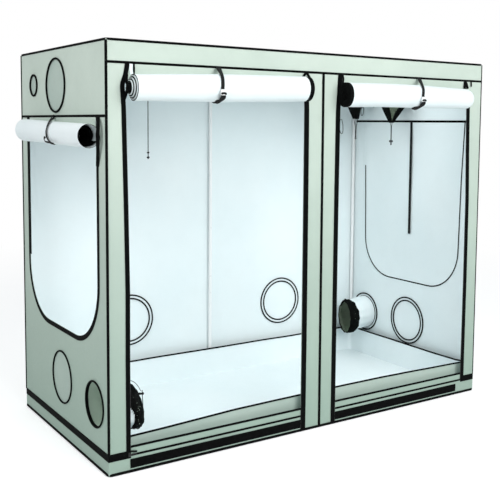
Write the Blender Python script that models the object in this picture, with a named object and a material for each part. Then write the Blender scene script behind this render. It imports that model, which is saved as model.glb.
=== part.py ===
"""An indoor grow tent: a white cloth cover over a frame of steel tubes, with two rolled front doors,
a rolled door in the left side, a closed one in the right side, duct sleeves and a floor tray."""

import math

import bmesh
import bpy
from mathutils import Matrix, Vector

# The whole tent. X runs along the front, the front faces -Y, and the tent stands on Z = 0.
WIDTH = 2.4
DEPTH = 1.2
HEIGHT = 2.0

# What every piece shares
CLOTH = 0.0015
GAP = 0.0003
OVERRUN = 0.01

# Frame of round steel tubes, pushed into plastic connectors
TUBE_RADIUS = 0.011
TUBE_WALL = 0.001
TUBE_SIDES = 12
SOCKET_WALL = 0.0032
SOCKET_LENGTH = 0.039
BLOCK_MARGIN = 0.0005
BLOCK_HALF = TUBE_RADIUS + GAP + SOCKET_WALL + BLOCK_MARGIN
SOCKET_FLOOR = BLOCK_HALF + BLOCK_MARGIN
SEAT = SOCKET_FLOOR + GAP
FRAME_INSET = CLOTH + GAP + BLOCK_HALF
FRAME_X = WIDTH / 2 - FRAME_INSET
FRAME_Y = DEPTH / 2 - FRAME_INSET
FRAME_LOW = FRAME_INSET
FRAME_HIGH = HEIGHT - FRAME_INSET

# Bars that hang lamps and filters from the top rails
BAR_RADIUS = 0.008
BAR_WALL = 0.001
HOOK_CLEARANCE = 0.0006
HOOK_THICKNESS = 0.003
HOOK_WIDTH = 0.024
HOOK_START = -50
HOOK_END = 180
HOOK_POINTS = 15
BAR_PLACE_SHARE = 0.5

# Front: header above, sill below, and two doorways beside a middle strip
HEADER_HEIGHT = 0.1
SILL_HEIGHT = 0.122
SIDE_STRIP = 0.115
MIDDLE_STRIP = 0.23
INNER_EDGE = MIDDLE_STRIP / 2
OUTER_EDGE = WIDTH / 2 - SIDE_STRIP
HEADER_SEAM = HEIGHT - HEADER_HEIGHT
WALL_LOW = CLOTH + GAP
WALL_HIGH = HEIGHT - CLOTH - GAP

# Side doorways are U shaped, under the seam that runs round both sides
SEAM_DROP = 0.34
SEAM_HEIGHT = HEIGHT - SEAM_DROP
SIDE_DOOR_WIDTH = 0.97
SIDE_DOOR_BOTTOM = 0.585
SIDE_DOOR_CORNER = 0.29
CORNER_POINTS = 8

# Duct ports: each port's radius and place, and the flange round it
BIG_PORT_RADIUS = 0.134
DUCT_PORT_RADIUS = 0.109
SOCK_PORT_RADIUS = 0.092
SMALL_PORT_RADIUS = 0.055
FLANGE_WIDTH = 0.02
FLANGE_THICKNESS = 0.002
PORT_SIDES = 32
BIG_PORT_Y = 0.044
BIG_PORT_RISE = 0.156
SOCK_PORT_RISE = 0.2
SMALL_PORT_INSET = 0.216
SMALL_PORT_RISE = 0.166
LOW_PORT_HEIGHT = 0.32
DUCT_PORT_HEIGHT = 0.3
DUCT_PORT_INSET = 0.163
BACK_PORT_X = 0.56
BACK_PORT_HEIGHT = 0.42
DUCT_PORT_Y = DEPTH / 2 - DUCT_PORT_INSET
SMALL_PORT_Y = DEPTH / 2 - SMALL_PORT_INSET
BIG_PORT_HEIGHT = SEAM_HEIGHT + BIG_PORT_RISE
SOCK_PORT_HEIGHT = SEAM_HEIGHT + SOCK_PORT_RISE
SMALL_PORT_HEIGHT = SEAM_HEIGHT + SMALL_PORT_RISE

# Duct sleeves. Each row gives shares of: the reach, the drop, the turn, the port's radius, the pleat.
SLEEVE_SIDES = 24
SLEEVE_PLEATS = 6
SLEEVE_ROOT = CLOTH + FLANGE_THICKNESS + GAP
LARGE_SOCK_REACH = 0.137
LARGE_SOCK_DROP = 0.211
LARGE_SOCK_SHARES = (
    (0.0, 0.0, 0.0, 1.0, 0.0),
    (0.34, 0.05, 0.25, 0.99, 0.02),
    (0.7, 0.2, 0.6, 0.95, 0.05),
    (0.95, 0.5, 0.9, 0.8, 0.09),
    (1.0, 1.0, 1.0, 0.15, 0.12),
)
SMALL_SOCK_REACH = 0.16
SMALL_SOCK_DROP = 0.152
SMALL_SOCK_SHARES = (
    (0.0, 0.0, 0.0, 1.0, 0.0),
    (0.34, 0.05, 0.22, 0.95, 0.02),
    (0.68, 0.2, 0.5, 0.8, 0.05),
    (0.93, 0.5, 0.85, 0.64, 0.08),
    (1.0, 1.0, 1.0, 0.34, 0.1),
)
SLEEVE_REACH = 0.215
SLEEVE_DROP = 0.014
SLEEVE_SHARES = (
    (0.0, 0.0, 0.0, 1.0, 0.0),
    (0.3, 0.12, 0.03, 0.99, 0.015),
    (0.62, 0.45, 0.06, 0.97, 0.03),
    (0.84, 0.8, 0.1, 0.98, 0.045),
    (1.0, 1.0, 0.12, 0.94, 0.05),
)

# Rolled doors. Each winds inwards from the cloth that hangs behind it.
ROLL_CLEARANCE = 0.0005
POINTS_PER_TURN = 18
FRONT_ROLL_RADIUS = 0.0595
FRONT_ROLL_PITCH = 0.005
FRONT_ROLL_TURNS = 7
FRONT_ROLL_DROP = 0.11
FRONT_ROLL_HEIGHT = HEADER_SEAM - FRONT_ROLL_DROP
FRONT_ROLL_INSET = 0.022
LEFT_ROLL_SHIFT = -0.0315
RIGHT_ROLL_SHIFT = -0.035
SIDE_ROLL_RADIUS = 0.055
SIDE_ROLL_PITCH = 0.006
SIDE_ROLL_TURNS = 4
SIDE_ROLL_DROP = 0.082
SIDE_ROLL_HEIGHT = SEAM_HEIGHT - SIDE_ROLL_DROP
SIDE_ROLL_OVERLAP = 0.0165
SIDE_ROLL_SHIFT = 0.0315
LEAD_DROP = 0.006

# Webbing straps and their buckles
WEBBING = 0.018
WEBBING_THICKNESS = 0.0015
STRAP_CLEARANCE = 0.0006
LOWER_STRAP_CLEARANCE = 0.0036
STRAP_SEWN = 0.015
LEFT_STRAP_SHIFT = -0.029
RIGHT_STRAP_SHIFT = 0.084
DOORWAY_MIDDLE = (INNER_EDGE + OUTER_EDGE) / 2
LEFT_STRAP_LEAN = 0.043
RIGHT_STRAP_LEAN = 0.077
FRONT_LEAN_SHARE = 0.75
STRAP_POINTS = 6
BUCKLE_ANGLE = 15
STRAP_FRONT = -50
STRAP_BACK = -150
TAIL_WIDTH = 0.016
TAIL_LENGTH = 0.042
TAIL_REACH = 0.006
BUCKLE_WIDTH = 0.026
BUCKLE_DEPTH = 0.011
BUCKLE_HEIGHT = 0.028
BUCKLE_CAP = 0.006
BUCKLE_BEVEL = 0.002
SIDE_STRAP_WIDTH = 0.02
SIDE_STRAP_Y = 0.081
SIDE_STRAP_LEAN = 0.2
SIDE_LEAN_SHARE = 0.6
HANGING_STRAP_WIDTH = 0.022
HANGING_STRAP_LENGTH = 0.75

# Zip slider at the foot of the left front door's zip
SLIDER_WIDTH = 0.013
SLIDER_HEIGHT = 0.02
SLIDER_DEPTH = 0.007
SLIDER_TAB_LENGTH = 0.03
SLIDER_TAB_HEIGHT = 0.008
SLIDER_TAB_DEPTH = 0.002
SLIDER_PLACE = 0.085
ZIP_OFFSET = 0.014

# Floor tray
TRAY_MARGIN = 0.04
TRAY_HEIGHT = 0.17
TRAY_WALL = 0.002

# Cords. A drawstring's two strands leave a sleeve's end, meet, and turn back in a loop.
CORD_RADIUS = 0.002
CORD_STEP = 0.011
STRAND_SPACING = 0.0052
LARGE_STRANDS_MEET = 0.05
LARGE_STRANDS_LENGTH = 0.139
SMALL_STRANDS_MEET = 0.095
SMALL_STRANDS_LENGTH = 0.132
MEETING_SHARE = 0.3
LOOP_WIDTH = 0.011
LOOP_POINTS = 6
TIE_CORD_INSET = 0.09
TIE_CORD_SEWN = 0.03
TIE_CORD_LENGTH = 0.46
SLEEVE_CORD_ANGLE = 45
SLEEVE_CORD_LENGTH = 0.15
SLEEVE_CORD_SWAY = 0.004
SLEEVE_CORD_CLEARANCE = 0.0006
LOCK_LENGTH = 0.024
LOCK_RADIUS = 0.007
LOCK_SIDES = 12
LOCK_PLACE = 0.121


def clear_scene():
    for obj in list(bpy.data.objects):
        bpy.data.objects.remove(obj)


def paint(name, colour, roughness, metallic=0.0):
    """A plain finish."""
    material = bpy.data.materials.new(name)
    material.use_nodes = True
    shader = material.node_tree.nodes["Principled BSDF"]
    shader.inputs["Base Color"].default_value = (*colour, 1.0)
    shader.inputs["Roughness"].default_value = roughness
    shader.inputs["Metallic"].default_value = metallic
    return material


def add(name, mesh, material, matrix=None):
    """Puts a mesh in the scene as a named piece."""
    piece = bpy.data.objects.new(name, mesh)
    if not mesh.materials:
        mesh.materials.append(material)
    bpy.context.scene.collection.objects.link(piece)
    if matrix is not None:
        piece.matrix_world = matrix
    return piece


def closed_mesh(name, points, faces):
    """A mesh from points and faces, with its faces turned outwards."""
    mesh = bpy.data.meshes.new(name)
    mesh.from_pydata([tuple(p) for p in points], [], faces)
    shell = bmesh.new()
    shell.from_mesh(mesh)
    bmesh.ops.recalc_face_normals(shell, faces=shell.faces)
    shell.to_mesh(mesh)
    shell.free()
    return mesh


def smooth(mesh):
    mesh.shade_smooth()
    mesh.set_sharp_from_angle(angle=math.radians(40))
    return mesh


def turned(name, profile, sides):
    """A closed profile of (radius, height) points, turned about Z."""
    points = []
    for side in range(sides):
        angle = math.tau * side / sides
        for radius, height in profile:
            points.append((radius * math.cos(angle), radius * math.sin(angle), height))
    count = len(profile)
    faces = []
    for side in range(sides):
        here = side * count
        there = (side + 1) % sides * count
        for i in range(count):
            j = (i + 1) % count
            faces.append((here + i, there + i, there + j, here + j))
    return smooth(closed_mesh(name, points, faces))


def cylinder(name, radius, low, high, sides):
    """A solid round bar along Z."""
    shell = bmesh.new()
    bmesh.ops.create_cone(
        shell,
        cap_ends=True,
        segments=sides,
        radius1=radius,
        radius2=radius,
        depth=high - low,
        matrix=Matrix.Translation((0, 0, (low + high) / 2)),
    )
    mesh = bpy.data.meshes.new(name)
    shell.to_mesh(mesh)
    shell.free()
    return mesh


def block(name, low, high, bevel=0.0):
    """A box between two corners, with rounded edges where bevel is given."""
    low, high = Vector(low), Vector(high)
    size = high - low
    shell = bmesh.new()
    bmesh.ops.create_cube(shell, size=1.0)
    bmesh.ops.scale(shell, vec=size, verts=shell.verts)
    bmesh.ops.translate(shell, vec=(low + high) / 2, verts=shell.verts)
    if bevel:
        bmesh.ops.bevel(
            shell, geom=shell.edges[:], offset=bevel, segments=2, profile=0.5, affect="EDGES"
        )
    mesh = bpy.data.meshes.new(name)
    shell.to_mesh(mesh)
    shell.free()
    return mesh


def boolean(piece, tool, operation):
    """Joins a tool to a piece, or cuts it out of it, and removes the tool."""
    modifier = piece.modifiers.new("join or cut", "BOOLEAN")
    modifier.operation = operation
    modifier.solver = "EXACT"
    modifier.object = tool
    bpy.context.view_layer.update()
    graph = bpy.context.evaluated_depsgraph_get()
    result = bpy.data.meshes.new_from_object(piece.evaluated_get(graph))
    piece.modifiers.clear()
    piece.data = result
    bpy.data.objects.remove(tool)


def along(direction):
    """The rotation that turns Z to a direction."""
    return Vector(direction).to_track_quat("Z", "Y").to_matrix().to_4x4()


def wall_frame(turn, distance):
    """A wall's own frame: X runs along it, -Y points out of it from its outer face, and Z is up."""
    return Matrix.Rotation(math.radians(turn), 4, "Z") @ Matrix.Translation((0, -distance, 0))


FRONT = wall_frame(0, DEPTH / 2)
RIGHT = wall_frame(90, WIDTH / 2)
BACK = wall_frame(180, DEPTH / 2)
LEFT = wall_frame(270, WIDTH / 2)


def ribbon(name, path, width, thickness):
    """A strip of cloth or webbing that follows a path, with its width along X."""
    points = []
    last = len(path) - 1
    for i, place in enumerate(path):
        before = path[max(i - 1, 0)]
        after = path[min(i + 1, last)]
        into = (place - before) if i else (after - place)
        out = (after - place) if i < last else into
        into = Vector((0, into.y, into.z)).normalized()
        out = Vector((0, out.y, out.z)).normalized()
        run = (into + out).normalized()
        across = Vector((0, -run.z, run.y)) * (thickness / 2 / max(run.dot(into), 0.5))
        for side in (-width / 2, width / 2):
            for face in (across, -across):
                points.append(place + face + Vector((side, 0, 0)))
    faces = [(0, 1, 3, 2), (4 * last, 4 * last + 2, 4 * last + 3, 4 * last + 1)]
    for i in range(last):
        a, b = 4 * i, 4 * i + 4
        faces += [
            (a, b, b + 1, a + 1),
            (a + 2, a + 3, b + 3, b + 2),
            (a, a + 2, b + 2, b),
            (a + 1, b + 1, b + 3, a + 3),
        ]
    return smooth(closed_mesh(name, points, faces))


def arc(centre_x, centre_y, radius, start, end, count):
    """Points on an arc, from one angle in degrees to another."""
    points = []
    for i in range(count + 1):
        angle = math.radians(start + (end - start) * i / count)
        points.append((centre_x + radius * math.cos(angle), centre_y + radius * math.sin(angle)))
    return points


def circle(centre_x, centre_y, radius):
    return arc(centre_x, centre_y, radius, 0, 360, PORT_SIDES)[:-1]


def panel(name, outline, holes=(), ports=()):
    """A flat sheet in a wall's frame, from its outer face inwards, with holes and with duct ports.

    A port is (x, z, radius, is open). Its flange ring stands proud of the inner face."""
    shell = bmesh.new()

    def loop(corners, depth):
        return [shell.verts.new((x, depth, z)) for x, z in corners]

    def side(first, second):
        for i in range(len(first)):
            j = (i + 1) % len(first)
            shell.faces.new((first[i], first[j], second[j], second[i]))

    def face(loops):
        edges = []
        for corners in loops:
            for i, corner in enumerate(corners):
                pair = (corner, corners[(i + 1) % len(corners)])
                edges.append(shell.edges.get(pair) or shell.edges.new(pair))
        bmesh.ops.triangle_fill(shell, use_beauty=True, use_dissolve=False, edges=edges)

    outer = [loop(corners, 0) for corners in (outline, *holes)]
    inner = [loop(corners, CLOTH) for corners in (outline, *holes)]
    for first, second in zip(outer, inner):
        side(first, second)
    for x, z, radius, is_open in ports:
        proud = CLOTH + FLANGE_THICKNESS
        foot = loop(circle(x, z, radius + FLANGE_WIDTH), CLOTH)
        rim = loop(circle(x, z, radius + FLANGE_WIDTH), proud)
        mouth = loop(circle(x, z, radius), proud)
        bottom = loop(circle(x, z, radius), 0 if is_open else CLOTH)
        side(foot, rim)
        side(rim, mouth)
        side(mouth, bottom)
        inner.append(foot)
        if is_open:
            outer.append(bottom)
        else:
            face([bottom])
    face(outer)
    face(inner)
    bmesh.ops.recalc_face_normals(shell, faces=shell.faces)
    mesh = bpy.data.meshes.new(name)
    shell.to_mesh(mesh)
    shell.free()
    return mesh


def rectangle(left, right, low, high):
    return [(left, low), (right, low), (right, high), (left, high)]


def u_shape(inset, top):
    """The outline of a side doorway, drawn in by an inset."""
    half = SIDE_DOOR_WIDTH / 2 - inset
    low = SIDE_DOOR_BOTTOM + inset
    radius = SIDE_DOOR_CORNER - inset
    left = arc(radius - half, low + radius, radius, 180, 270, CORNER_POINTS)
    right = arc(half - radius, low + radius, radius, 270, 360, CORNER_POINTS)
    return [(-half, top), *left, *right, (half, top)]


def connector_mesh(name, arms, through=None):
    """Sockets that leave one block. The tube of the through direction runs on through it."""
    corner = Vector((BLOCK_HALF, BLOCK_HALF, BLOCK_HALF))
    reach = BLOCK_HALF + SOCKET_LENGTH
    piece = add(name, block(name, -corner, corner), BLACK_PLASTIC)
    for arm in arms:
        socket = cylinder("socket", BLOCK_HALF - BLOCK_MARGIN, 0, reach, TUBE_SIDES)
        boolean(piece, add("socket", socket, BLACK_PLASTIC, along(arm)), "UNION")
    bores = [(arm, SOCKET_FLOOR) for arm in arms if not through or not Vector(arm).dot(through)]
    if through:
        bores.append((through, -reach - OVERRUN))
    for arm, floor in bores:
        bore = cylinder("bore", TUBE_RADIUS + GAP, floor, reach + OVERRUN, TUBE_SIDES)
        boolean(piece, add("bore", bore, BLACK_PLASTIC, along(arm)), "DIFFERENCE")
    mesh = smooth(piece.data)
    bpy.data.objects.remove(piece)
    return mesh


def tube(name, start, end):
    """A hollow frame tube between two points."""
    start, end = Vector(start), Vector(end)
    half = (end - start).length / 2
    profile = [
        (TUBE_RADIUS - TUBE_WALL, -half),
        (TUBE_RADIUS, -half),
        (TUBE_RADIUS, half),
        (TUBE_RADIUS - TUBE_WALL, half),
    ]
    place = Matrix.Translation((start + end) / 2) @ along(end - start)
    return add(name, turned(name, profile, TUBE_SIDES), WHITE_STEEL, place)


def frame_tubes():
    """Posts, top rails and bottom rails."""
    sides = (("left", -FRAME_X), ("right", FRAME_X))
    ends = (("front", -FRAME_Y), ("back", FRAME_Y))
    levels = (("bottom", FRAME_LOW), ("top", FRAME_HIGH))
    for end, y in ends:
        for side, x in (*sides, ("middle", 0)):
            name = f"middle_post_{end}" if side == "middle" else f"corner_post_{end}_{side}"
            tube(name, (x, y, FRAME_LOW + SEAT), (x, y, FRAME_HIGH - SEAT))
    for level, z in levels:
        for side, x in sides:
            tube(f"{level}_rail_{side}", (x, SEAT - FRAME_Y, z), (x, FRAME_Y - SEAT, z))
        front = -FRAME_Y
        tube(f"{level}_rail_front_left", (SEAT - FRAME_X, front, z), (-SEAT, front, z))
        tube(f"{level}_rail_front_right", (SEAT, front, z), (FRAME_X - SEAT, front, z))
        tube(f"{level}_rail_back", (SEAT - FRAME_X, FRAME_Y, z), (FRAME_X - SEAT, FRAME_Y, z))
    tube("top_rail_middle", (0, SEAT - FRAME_Y, FRAME_HIGH), (0, FRAME_Y - SEAT, FRAME_HIGH))


def connectors():
    """Corner blocks, and the blocks that hold the middle posts."""
    left, right, front, back = (-1, 0, 0), (1, 0, 0), (0, -1, 0), (0, 1, 0)
    up, down = (0, 0, 1), (0, 0, -1)
    mesh = connector_mesh("corner_connector", (right, back, up))
    upside_down = Matrix.Rotation(math.pi, 4, "X")
    corners = (
        ("bottom_front_left", -1, -1, 0),
        ("bottom_front_right", 1, -1, 90),
        ("bottom_back_right", 1, 1, 180),
        ("bottom_back_left", -1, 1, 270),
        ("top_back_left", -1, 1, 0),
        ("top_front_left", -1, -1, 90),
        ("top_front_right", 1, -1, 180),
        ("top_back_right", 1, 1, 270),
    )
    for place, x_sign, y_sign, turn in corners:
        top = place.startswith("top")
        spot = Vector((x_sign * FRAME_X, y_sign * FRAME_Y, FRAME_HIGH if top else FRAME_LOW))
        turning = Matrix.Rotation(math.radians(turn), 4, "Z")
        matrix = Matrix.Translation(spot) @ turning @ (upside_down if top else Matrix())
        add(f"{place}_connector", mesh, BLACK_PLASTIC, matrix)
    middles = (
        ("bottom_front_middle", -FRAME_Y, FRAME_LOW, (left, right, up), None),
        ("bottom_back_middle", FRAME_Y, FRAME_LOW, (left, right, up), right),
        ("top_front_middle", -FRAME_Y, FRAME_HIGH, (left, right, back, down), None),
        ("top_back_middle", FRAME_Y, FRAME_HIGH, (left, right, front, down), right),
    )
    for place, y, z, arms, through in middles:
        mesh = connector_mesh(place, arms, through)
        add(f"{place}_connector", mesh, BLACK_PLASTIC, Matrix.Translation((0, y, z)))


def hanging_bar(name, x):
    """A tube across the tent, with a hook over the top rail at each end."""
    hook_radius = TUBE_RADIUS + HOOK_CLEARANCE + HOOK_THICKNESS / 2
    reach = FRAME_Y - hook_radius
    place = Matrix.Translation((x, 0, FRAME_HIGH))
    bar = cylinder(name, BAR_RADIUS, -reach, reach, TUBE_SIDES)
    piece = add(name, bar, WHITE_STEEL, place @ along((0, 1, 0)))
    for turn in (0, math.pi):
        bend = arc(0, 0, hook_radius, HOOK_START, HOOK_END, HOOK_POINTS)
        path = [Vector((0, y - FRAME_Y, z)) for y, z in bend]
        hook = ribbon("hook", path, HOOK_WIDTH, HOOK_THICKNESS)
        boolean(piece, add("hook", hook, WHITE_STEEL, place @ Matrix.Rotation(turn, 4, "Z")), "UNION")
    bore = cylinder("bore", BAR_RADIUS - BAR_WALL, -FRAME_Y, FRAME_Y, TUBE_SIDES)
    boolean(piece, add("bore", bore, WHITE_STEEL, place @ along((0, 1, 0))), "DIFFERENCE")
    smooth(piece.data)


def cover_panels():
    """The sewn panels of the cover: floor, roof, front, back and sides."""
    low, high = Vector((-WIDTH / 2, -DEPTH / 2, 0)), Vector((WIDTH / 2, DEPTH / 2, CLOTH))
    up = Vector((0, 0, HEIGHT - CLOTH))
    add("floor_sheet", block("floor_sheet", low, high), BLACK_CLOTH)
    add("roof_panel", block("roof_panel", low + up, high + up), GREY_CLOTH)

    half = WIDTH / 2 - CLOTH - GAP
    outline = rectangle(-half, half, WALL_LOW, WALL_HIGH)
    doorways = [
        rectangle(-OUTER_EDGE, -INNER_EDGE, SILL_HEIGHT, HEADER_SEAM),
        rectangle(INNER_EDGE, OUTER_EDGE, SILL_HEIGHT, HEADER_SEAM),
    ]
    add("front_wall", panel("front_wall", outline, doorways), GREY_CLOTH, FRONT)

    ports = [(x, BACK_PORT_HEIGHT, BIG_PORT_RADIUS, False) for x in (-BACK_PORT_X, BACK_PORT_X)]
    add("back_wall", panel("back_wall", outline, (), ports), GREY_CLOTH, BACK)

    outline = rectangle(-DEPTH / 2, DEPTH / 2, WALL_LOW, WALL_HIGH)
    doorway = u_shape(0, SEAM_HEIGHT)
    low_ports = [
        (DUCT_PORT_Y, DUCT_PORT_HEIGHT, DUCT_PORT_RADIUS, True),
        (0, LOW_PORT_HEIGHT, BIG_PORT_RADIUS, False),
    ]
    closed = [
        (-BIG_PORT_Y, BIG_PORT_HEIGHT, BIG_PORT_RADIUS, False),
        (-SMALL_PORT_Y, SMALL_PORT_HEIGHT, SMALL_PORT_RADIUS, False),
    ]
    with_socks = [
        (BIG_PORT_Y, SOCK_PORT_HEIGHT, SOCK_PORT_RADIUS, True),
        (SMALL_PORT_Y, SMALL_PORT_HEIGHT, SMALL_PORT_RADIUS, True),
    ]
    for name, wall, high_ports in (("left_wall", LEFT, closed), ("right_wall", RIGHT, with_socks)):
        add(name, panel(name, outline, [doorway], low_ports + high_ports), GREY_CLOTH, wall)


def right_side_door():
    """The closed door of the right side, which hangs in its doorway from its top edge."""
    top = SEAM_HEIGHT - CLOTH - GAP
    place = RIGHT @ Matrix.Translation((0, 0, top))
    outline = [(x, z - top) for x, z in u_shape(GAP, top)]
    add("right_side_door", panel("right_side_door", outline), WHITE_CLOTH, place)


def floor_tray():
    """A basin of coated cloth on the floor sheet."""
    half_x, half_y = WIDTH / 2 - TRAY_MARGIN, DEPTH / 2 - TRAY_MARGIN
    low, high = WALL_LOW, TRAY_HEIGHT
    tray = block("floor_tray", (-half_x, -half_y, low), (half_x, half_y, high))
    inner_x, inner_y = half_x - TRAY_WALL, half_y - TRAY_WALL
    low_corner = (-inner_x, -inner_y, low + TRAY_WALL)
    hollow = block("hollow", low_corner, (inner_x, inner_y, high + OVERRUN))
    boolean(add("floor_tray", tray, WHITE_CLOTH), add("hollow", hollow, WHITE_CLOTH), "DIFFERENCE")


def rolled_door(name, wall, left, right, height, lead_top, radius, pitch, turns):
    """A door rolled up from below: its cloth hangs behind the roll and winds inwards in one strip."""
    first = radius - CLOTH / 2
    centre = -(ROLL_CLEARANCE + radius)
    path = [Vector((0, centre + first, lead_top - height))]
    steps = turns * POINTS_PER_TURN
    for step in range(steps + 1):
        angle = math.tau * step / POINTS_PER_TURN
        reach = first - pitch * step / POINTS_PER_TURN
        path.append(Vector((0, centre + reach * math.cos(angle), -reach * math.sin(angle))))
    winding = path[1:]
    gap = min(
        (winding[i] - winding[i + POINTS_PER_TURN]).length - CLOTH
        for i in range(len(winding) - POINTS_PER_TURN)
    )
    print(f"{name}: {turns} turns, and its layers lie at least {gap * 1000:.2f} mm apart")
    place = wall @ Matrix.Translation(((left + right) / 2, 0, height))
    add(name, ribbon(name, path, right - left, CLOTH), WHITE_CLOTH, place)


def rolled_doors():
    front = (FRONT_ROLL_HEIGHT, HEADER_SEAM - LEAD_DROP, FRONT_ROLL_RADIUS, FRONT_ROLL_PITCH)
    outer, inner = OUTER_EDGE - FRONT_ROLL_INSET, INNER_EDGE + FRONT_ROLL_INSET
    left = (LEFT_ROLL_SHIFT - outer, LEFT_ROLL_SHIFT - inner)
    right = (inner + RIGHT_ROLL_SHIFT, outer + RIGHT_ROLL_SHIFT)
    rolled_door("left_front_door", FRONT, *left, *front, FRONT_ROLL_TURNS)
    rolled_door("right_front_door", FRONT, *right, *front, FRONT_ROLL_TURNS)
    side = (SIDE_ROLL_HEIGHT, SEAM_HEIGHT - LEAD_DROP, SIDE_ROLL_RADIUS, SIDE_ROLL_PITCH)
    reach = SIDE_DOOR_WIDTH / 2 + SIDE_ROLL_OVERLAP
    back, front = SIDE_ROLL_SHIFT - reach, SIDE_ROLL_SHIFT + reach
    rolled_door("left_side_door", LEFT, back, front, *side, SIDE_ROLL_TURNS)


def round_the_roll(centre, radius, start, end, lean_start, lean_end):
    """Path points on an arc in front of a roll. The angles rise from straight out of the wall."""
    points = []
    for i in range(STRAP_POINTS + 1):
        part = i / STRAP_POINTS
        angle = math.radians(start + (end - start) * part)
        lean = lean_start + (lean_end - lean_start) * part
        offset = Vector((lean, -radius * math.cos(angle), radius * math.sin(angle)))
        points.append(centre + offset)
    return points


def tangent_angle(radius, back, above):
    """Where a strap from behind and above a roll's centre first lies on the roll, in degrees."""
    return math.degrees(math.atan2(above, -back) - math.acos(radius / math.hypot(back, above)))


def front_strap(side, x, sideways):
    """The three pieces that tie up a front door: webbing, buckle, and the lower strap with its tail."""
    height = FRONT_ROLL_HEIGHT
    centre = Vector((x, -(ROLL_CLEARANCE + FRONT_ROLL_RADIUS), 0))
    place = FRONT @ Matrix.Translation((0, 0, height))
    wrap = FRONT_ROLL_RADIUS + STRAP_CLEARANCE + WEBBING_THICKNESS / 2
    sewn = -(GAP + WEBBING_THICKNESS / 2)
    seam = HEADER_SEAM - height
    buckle_y = centre.y - FRONT_ROLL_RADIUS - GAP - BUCKLE_DEPTH / 2
    lean = Vector((-sideways, 0, 0))
    start = tangent_angle(wrap, sewn - centre.y, seam)
    path = [Vector((x, sewn, seam + STRAP_SEWN)), Vector((x, sewn, seam))]
    path += round_the_roll(centre, wrap, start, BUCKLE_ANGLE, FRONT_LEAN_SHARE * lean.x, lean.x)
    path.append(Vector((x, buckle_y, GAP + WEBBING_THICKNESS / 2)) + lean)
    name = f"{side}_front_strap"
    add(name, ribbon(name, path, WEBBING, WEBBING_THICKNESS), BLACK_WEBBING, place)

    name = f"{side}_front_buckle"
    width = Vector((BUCKLE_WIDTH / 2, BUCKLE_DEPTH / 2, 0))
    shell = block(name, -width - Vector((0, 0, BUCKLE_HEIGHT)), width, BUCKLE_BEVEL)
    slot = Vector((WEBBING / 2 + GAP, WEBBING_THICKNESS / 2 + GAP, 0))
    foot = Vector((0, 0, BUCKLE_HEIGHT + OVERRUN))
    mouth = block("mouth", -slot - foot, slot - Vector((0, 0, BUCKLE_CAP)))
    at_buckle = place @ Matrix.Translation(Vector((x, buckle_y, 0)) + lean)
    buckle = add(name, shell, WHITE_PLASTIC, at_buckle)
    boolean(buckle, add("mouth", mouth, WHITE_PLASTIC, at_buckle), "DIFFERENCE")

    name = f"{side}_front_lower_strap"
    behind = CLOTH + GAP + WEBBING_THICKNESS / 2
    low = centre + lean
    wrap = FRONT_ROLL_RADIUS + LOWER_STRAP_CLEARANCE + WEBBING_THICKNESS / 2
    under = round_the_roll(low, wrap, STRAP_BACK, STRAP_FRONT, 0, 0)
    bend = BUCKLE_HEIGHT + BUCKLE_CAP
    path = [Vector((low.x, behind, seam + STRAP_SEWN)), Vector((low.x, behind, 0)), *under]
    path.append(Vector((low.x, buckle_y, -bend)))
    path.append(Vector((low.x, buckle_y, -BUCKLE_CAP - GAP)))
    strap = add(name, ribbon(name, path, WEBBING, WEBBING_THICKNESS), BLACK_WEBBING, place)
    root = Vector((low.x, buckle_y, -bend + WEBBING_THICKNESS))
    tip = root + Vector((-TAIL_LENGTH, -TAIL_REACH, -TAIL_LENGTH))
    tail = ribbon("tail", [root, tip], TAIL_WIDTH, WEBBING_THICKNESS)
    boolean(strap, add("tail", tail, BLACK_WEBBING, place), "UNION")
    smooth(strap.data)


def side_strap():
    """One strap round the rolled side door, from the seam outside to the seam inside."""
    centre = Vector((-SIDE_STRAP_Y, -(ROLL_CLEARANCE + SIDE_ROLL_RADIUS), 0))
    wrap = SIDE_ROLL_RADIUS + STRAP_CLEARANCE + WEBBING_THICKNESS / 2
    sewn = -(GAP + WEBBING_THICKNESS / 2)
    behind = CLOTH + GAP + WEBBING_THICKNESS / 2
    seam = SEAM_HEIGHT - SIDE_ROLL_HEIGHT
    start = tangent_angle(wrap, sewn - centre.y, seam)
    path = [Vector((centre.x, sewn, seam + STRAP_SEWN)), Vector((centre.x, sewn, seam))]
    lean = SIDE_STRAP_LEAN
    path += round_the_roll(centre, wrap, start, BUCKLE_ANGLE, SIDE_LEAN_SHARE * lean, lean)
    wrap = SIDE_ROLL_RADIUS + LOWER_STRAP_CLEARANCE + WEBBING_THICKNESS / 2
    path += round_the_roll(centre, wrap, -BUCKLE_ANGLE, STRAP_BACK, lean, lean)
    path.append(Vector((centre.x + lean, behind, 0)))
    path.append(Vector((centre.x + lean, behind, seam + STRAP_SEWN)))
    name = "left_side_strap"
    mesh = ribbon(name, path, SIDE_STRAP_WIDTH, WEBBING_THICKNESS)
    add(name, mesh, BLACK_WEBBING, LEFT @ Matrix.Translation((0, 0, SIDE_ROLL_HEIGHT)))


def hanging_strap():
    """A tie strap that hangs inside from the seam of the right side."""
    inside = CLOTH + GAP + WEBBING_THICKNESS / 2
    place = RIGHT @ Matrix.Translation((0, inside, SEAM_HEIGHT))
    path = [Vector(), Vector((0, 0, -HANGING_STRAP_LENGTH))]
    mesh = ribbon("right_door_strap", path, HANGING_STRAP_WIDTH, WEBBING_THICKNESS)
    add("right_door_strap", mesh, BLACK_WEBBING, place)


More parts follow.
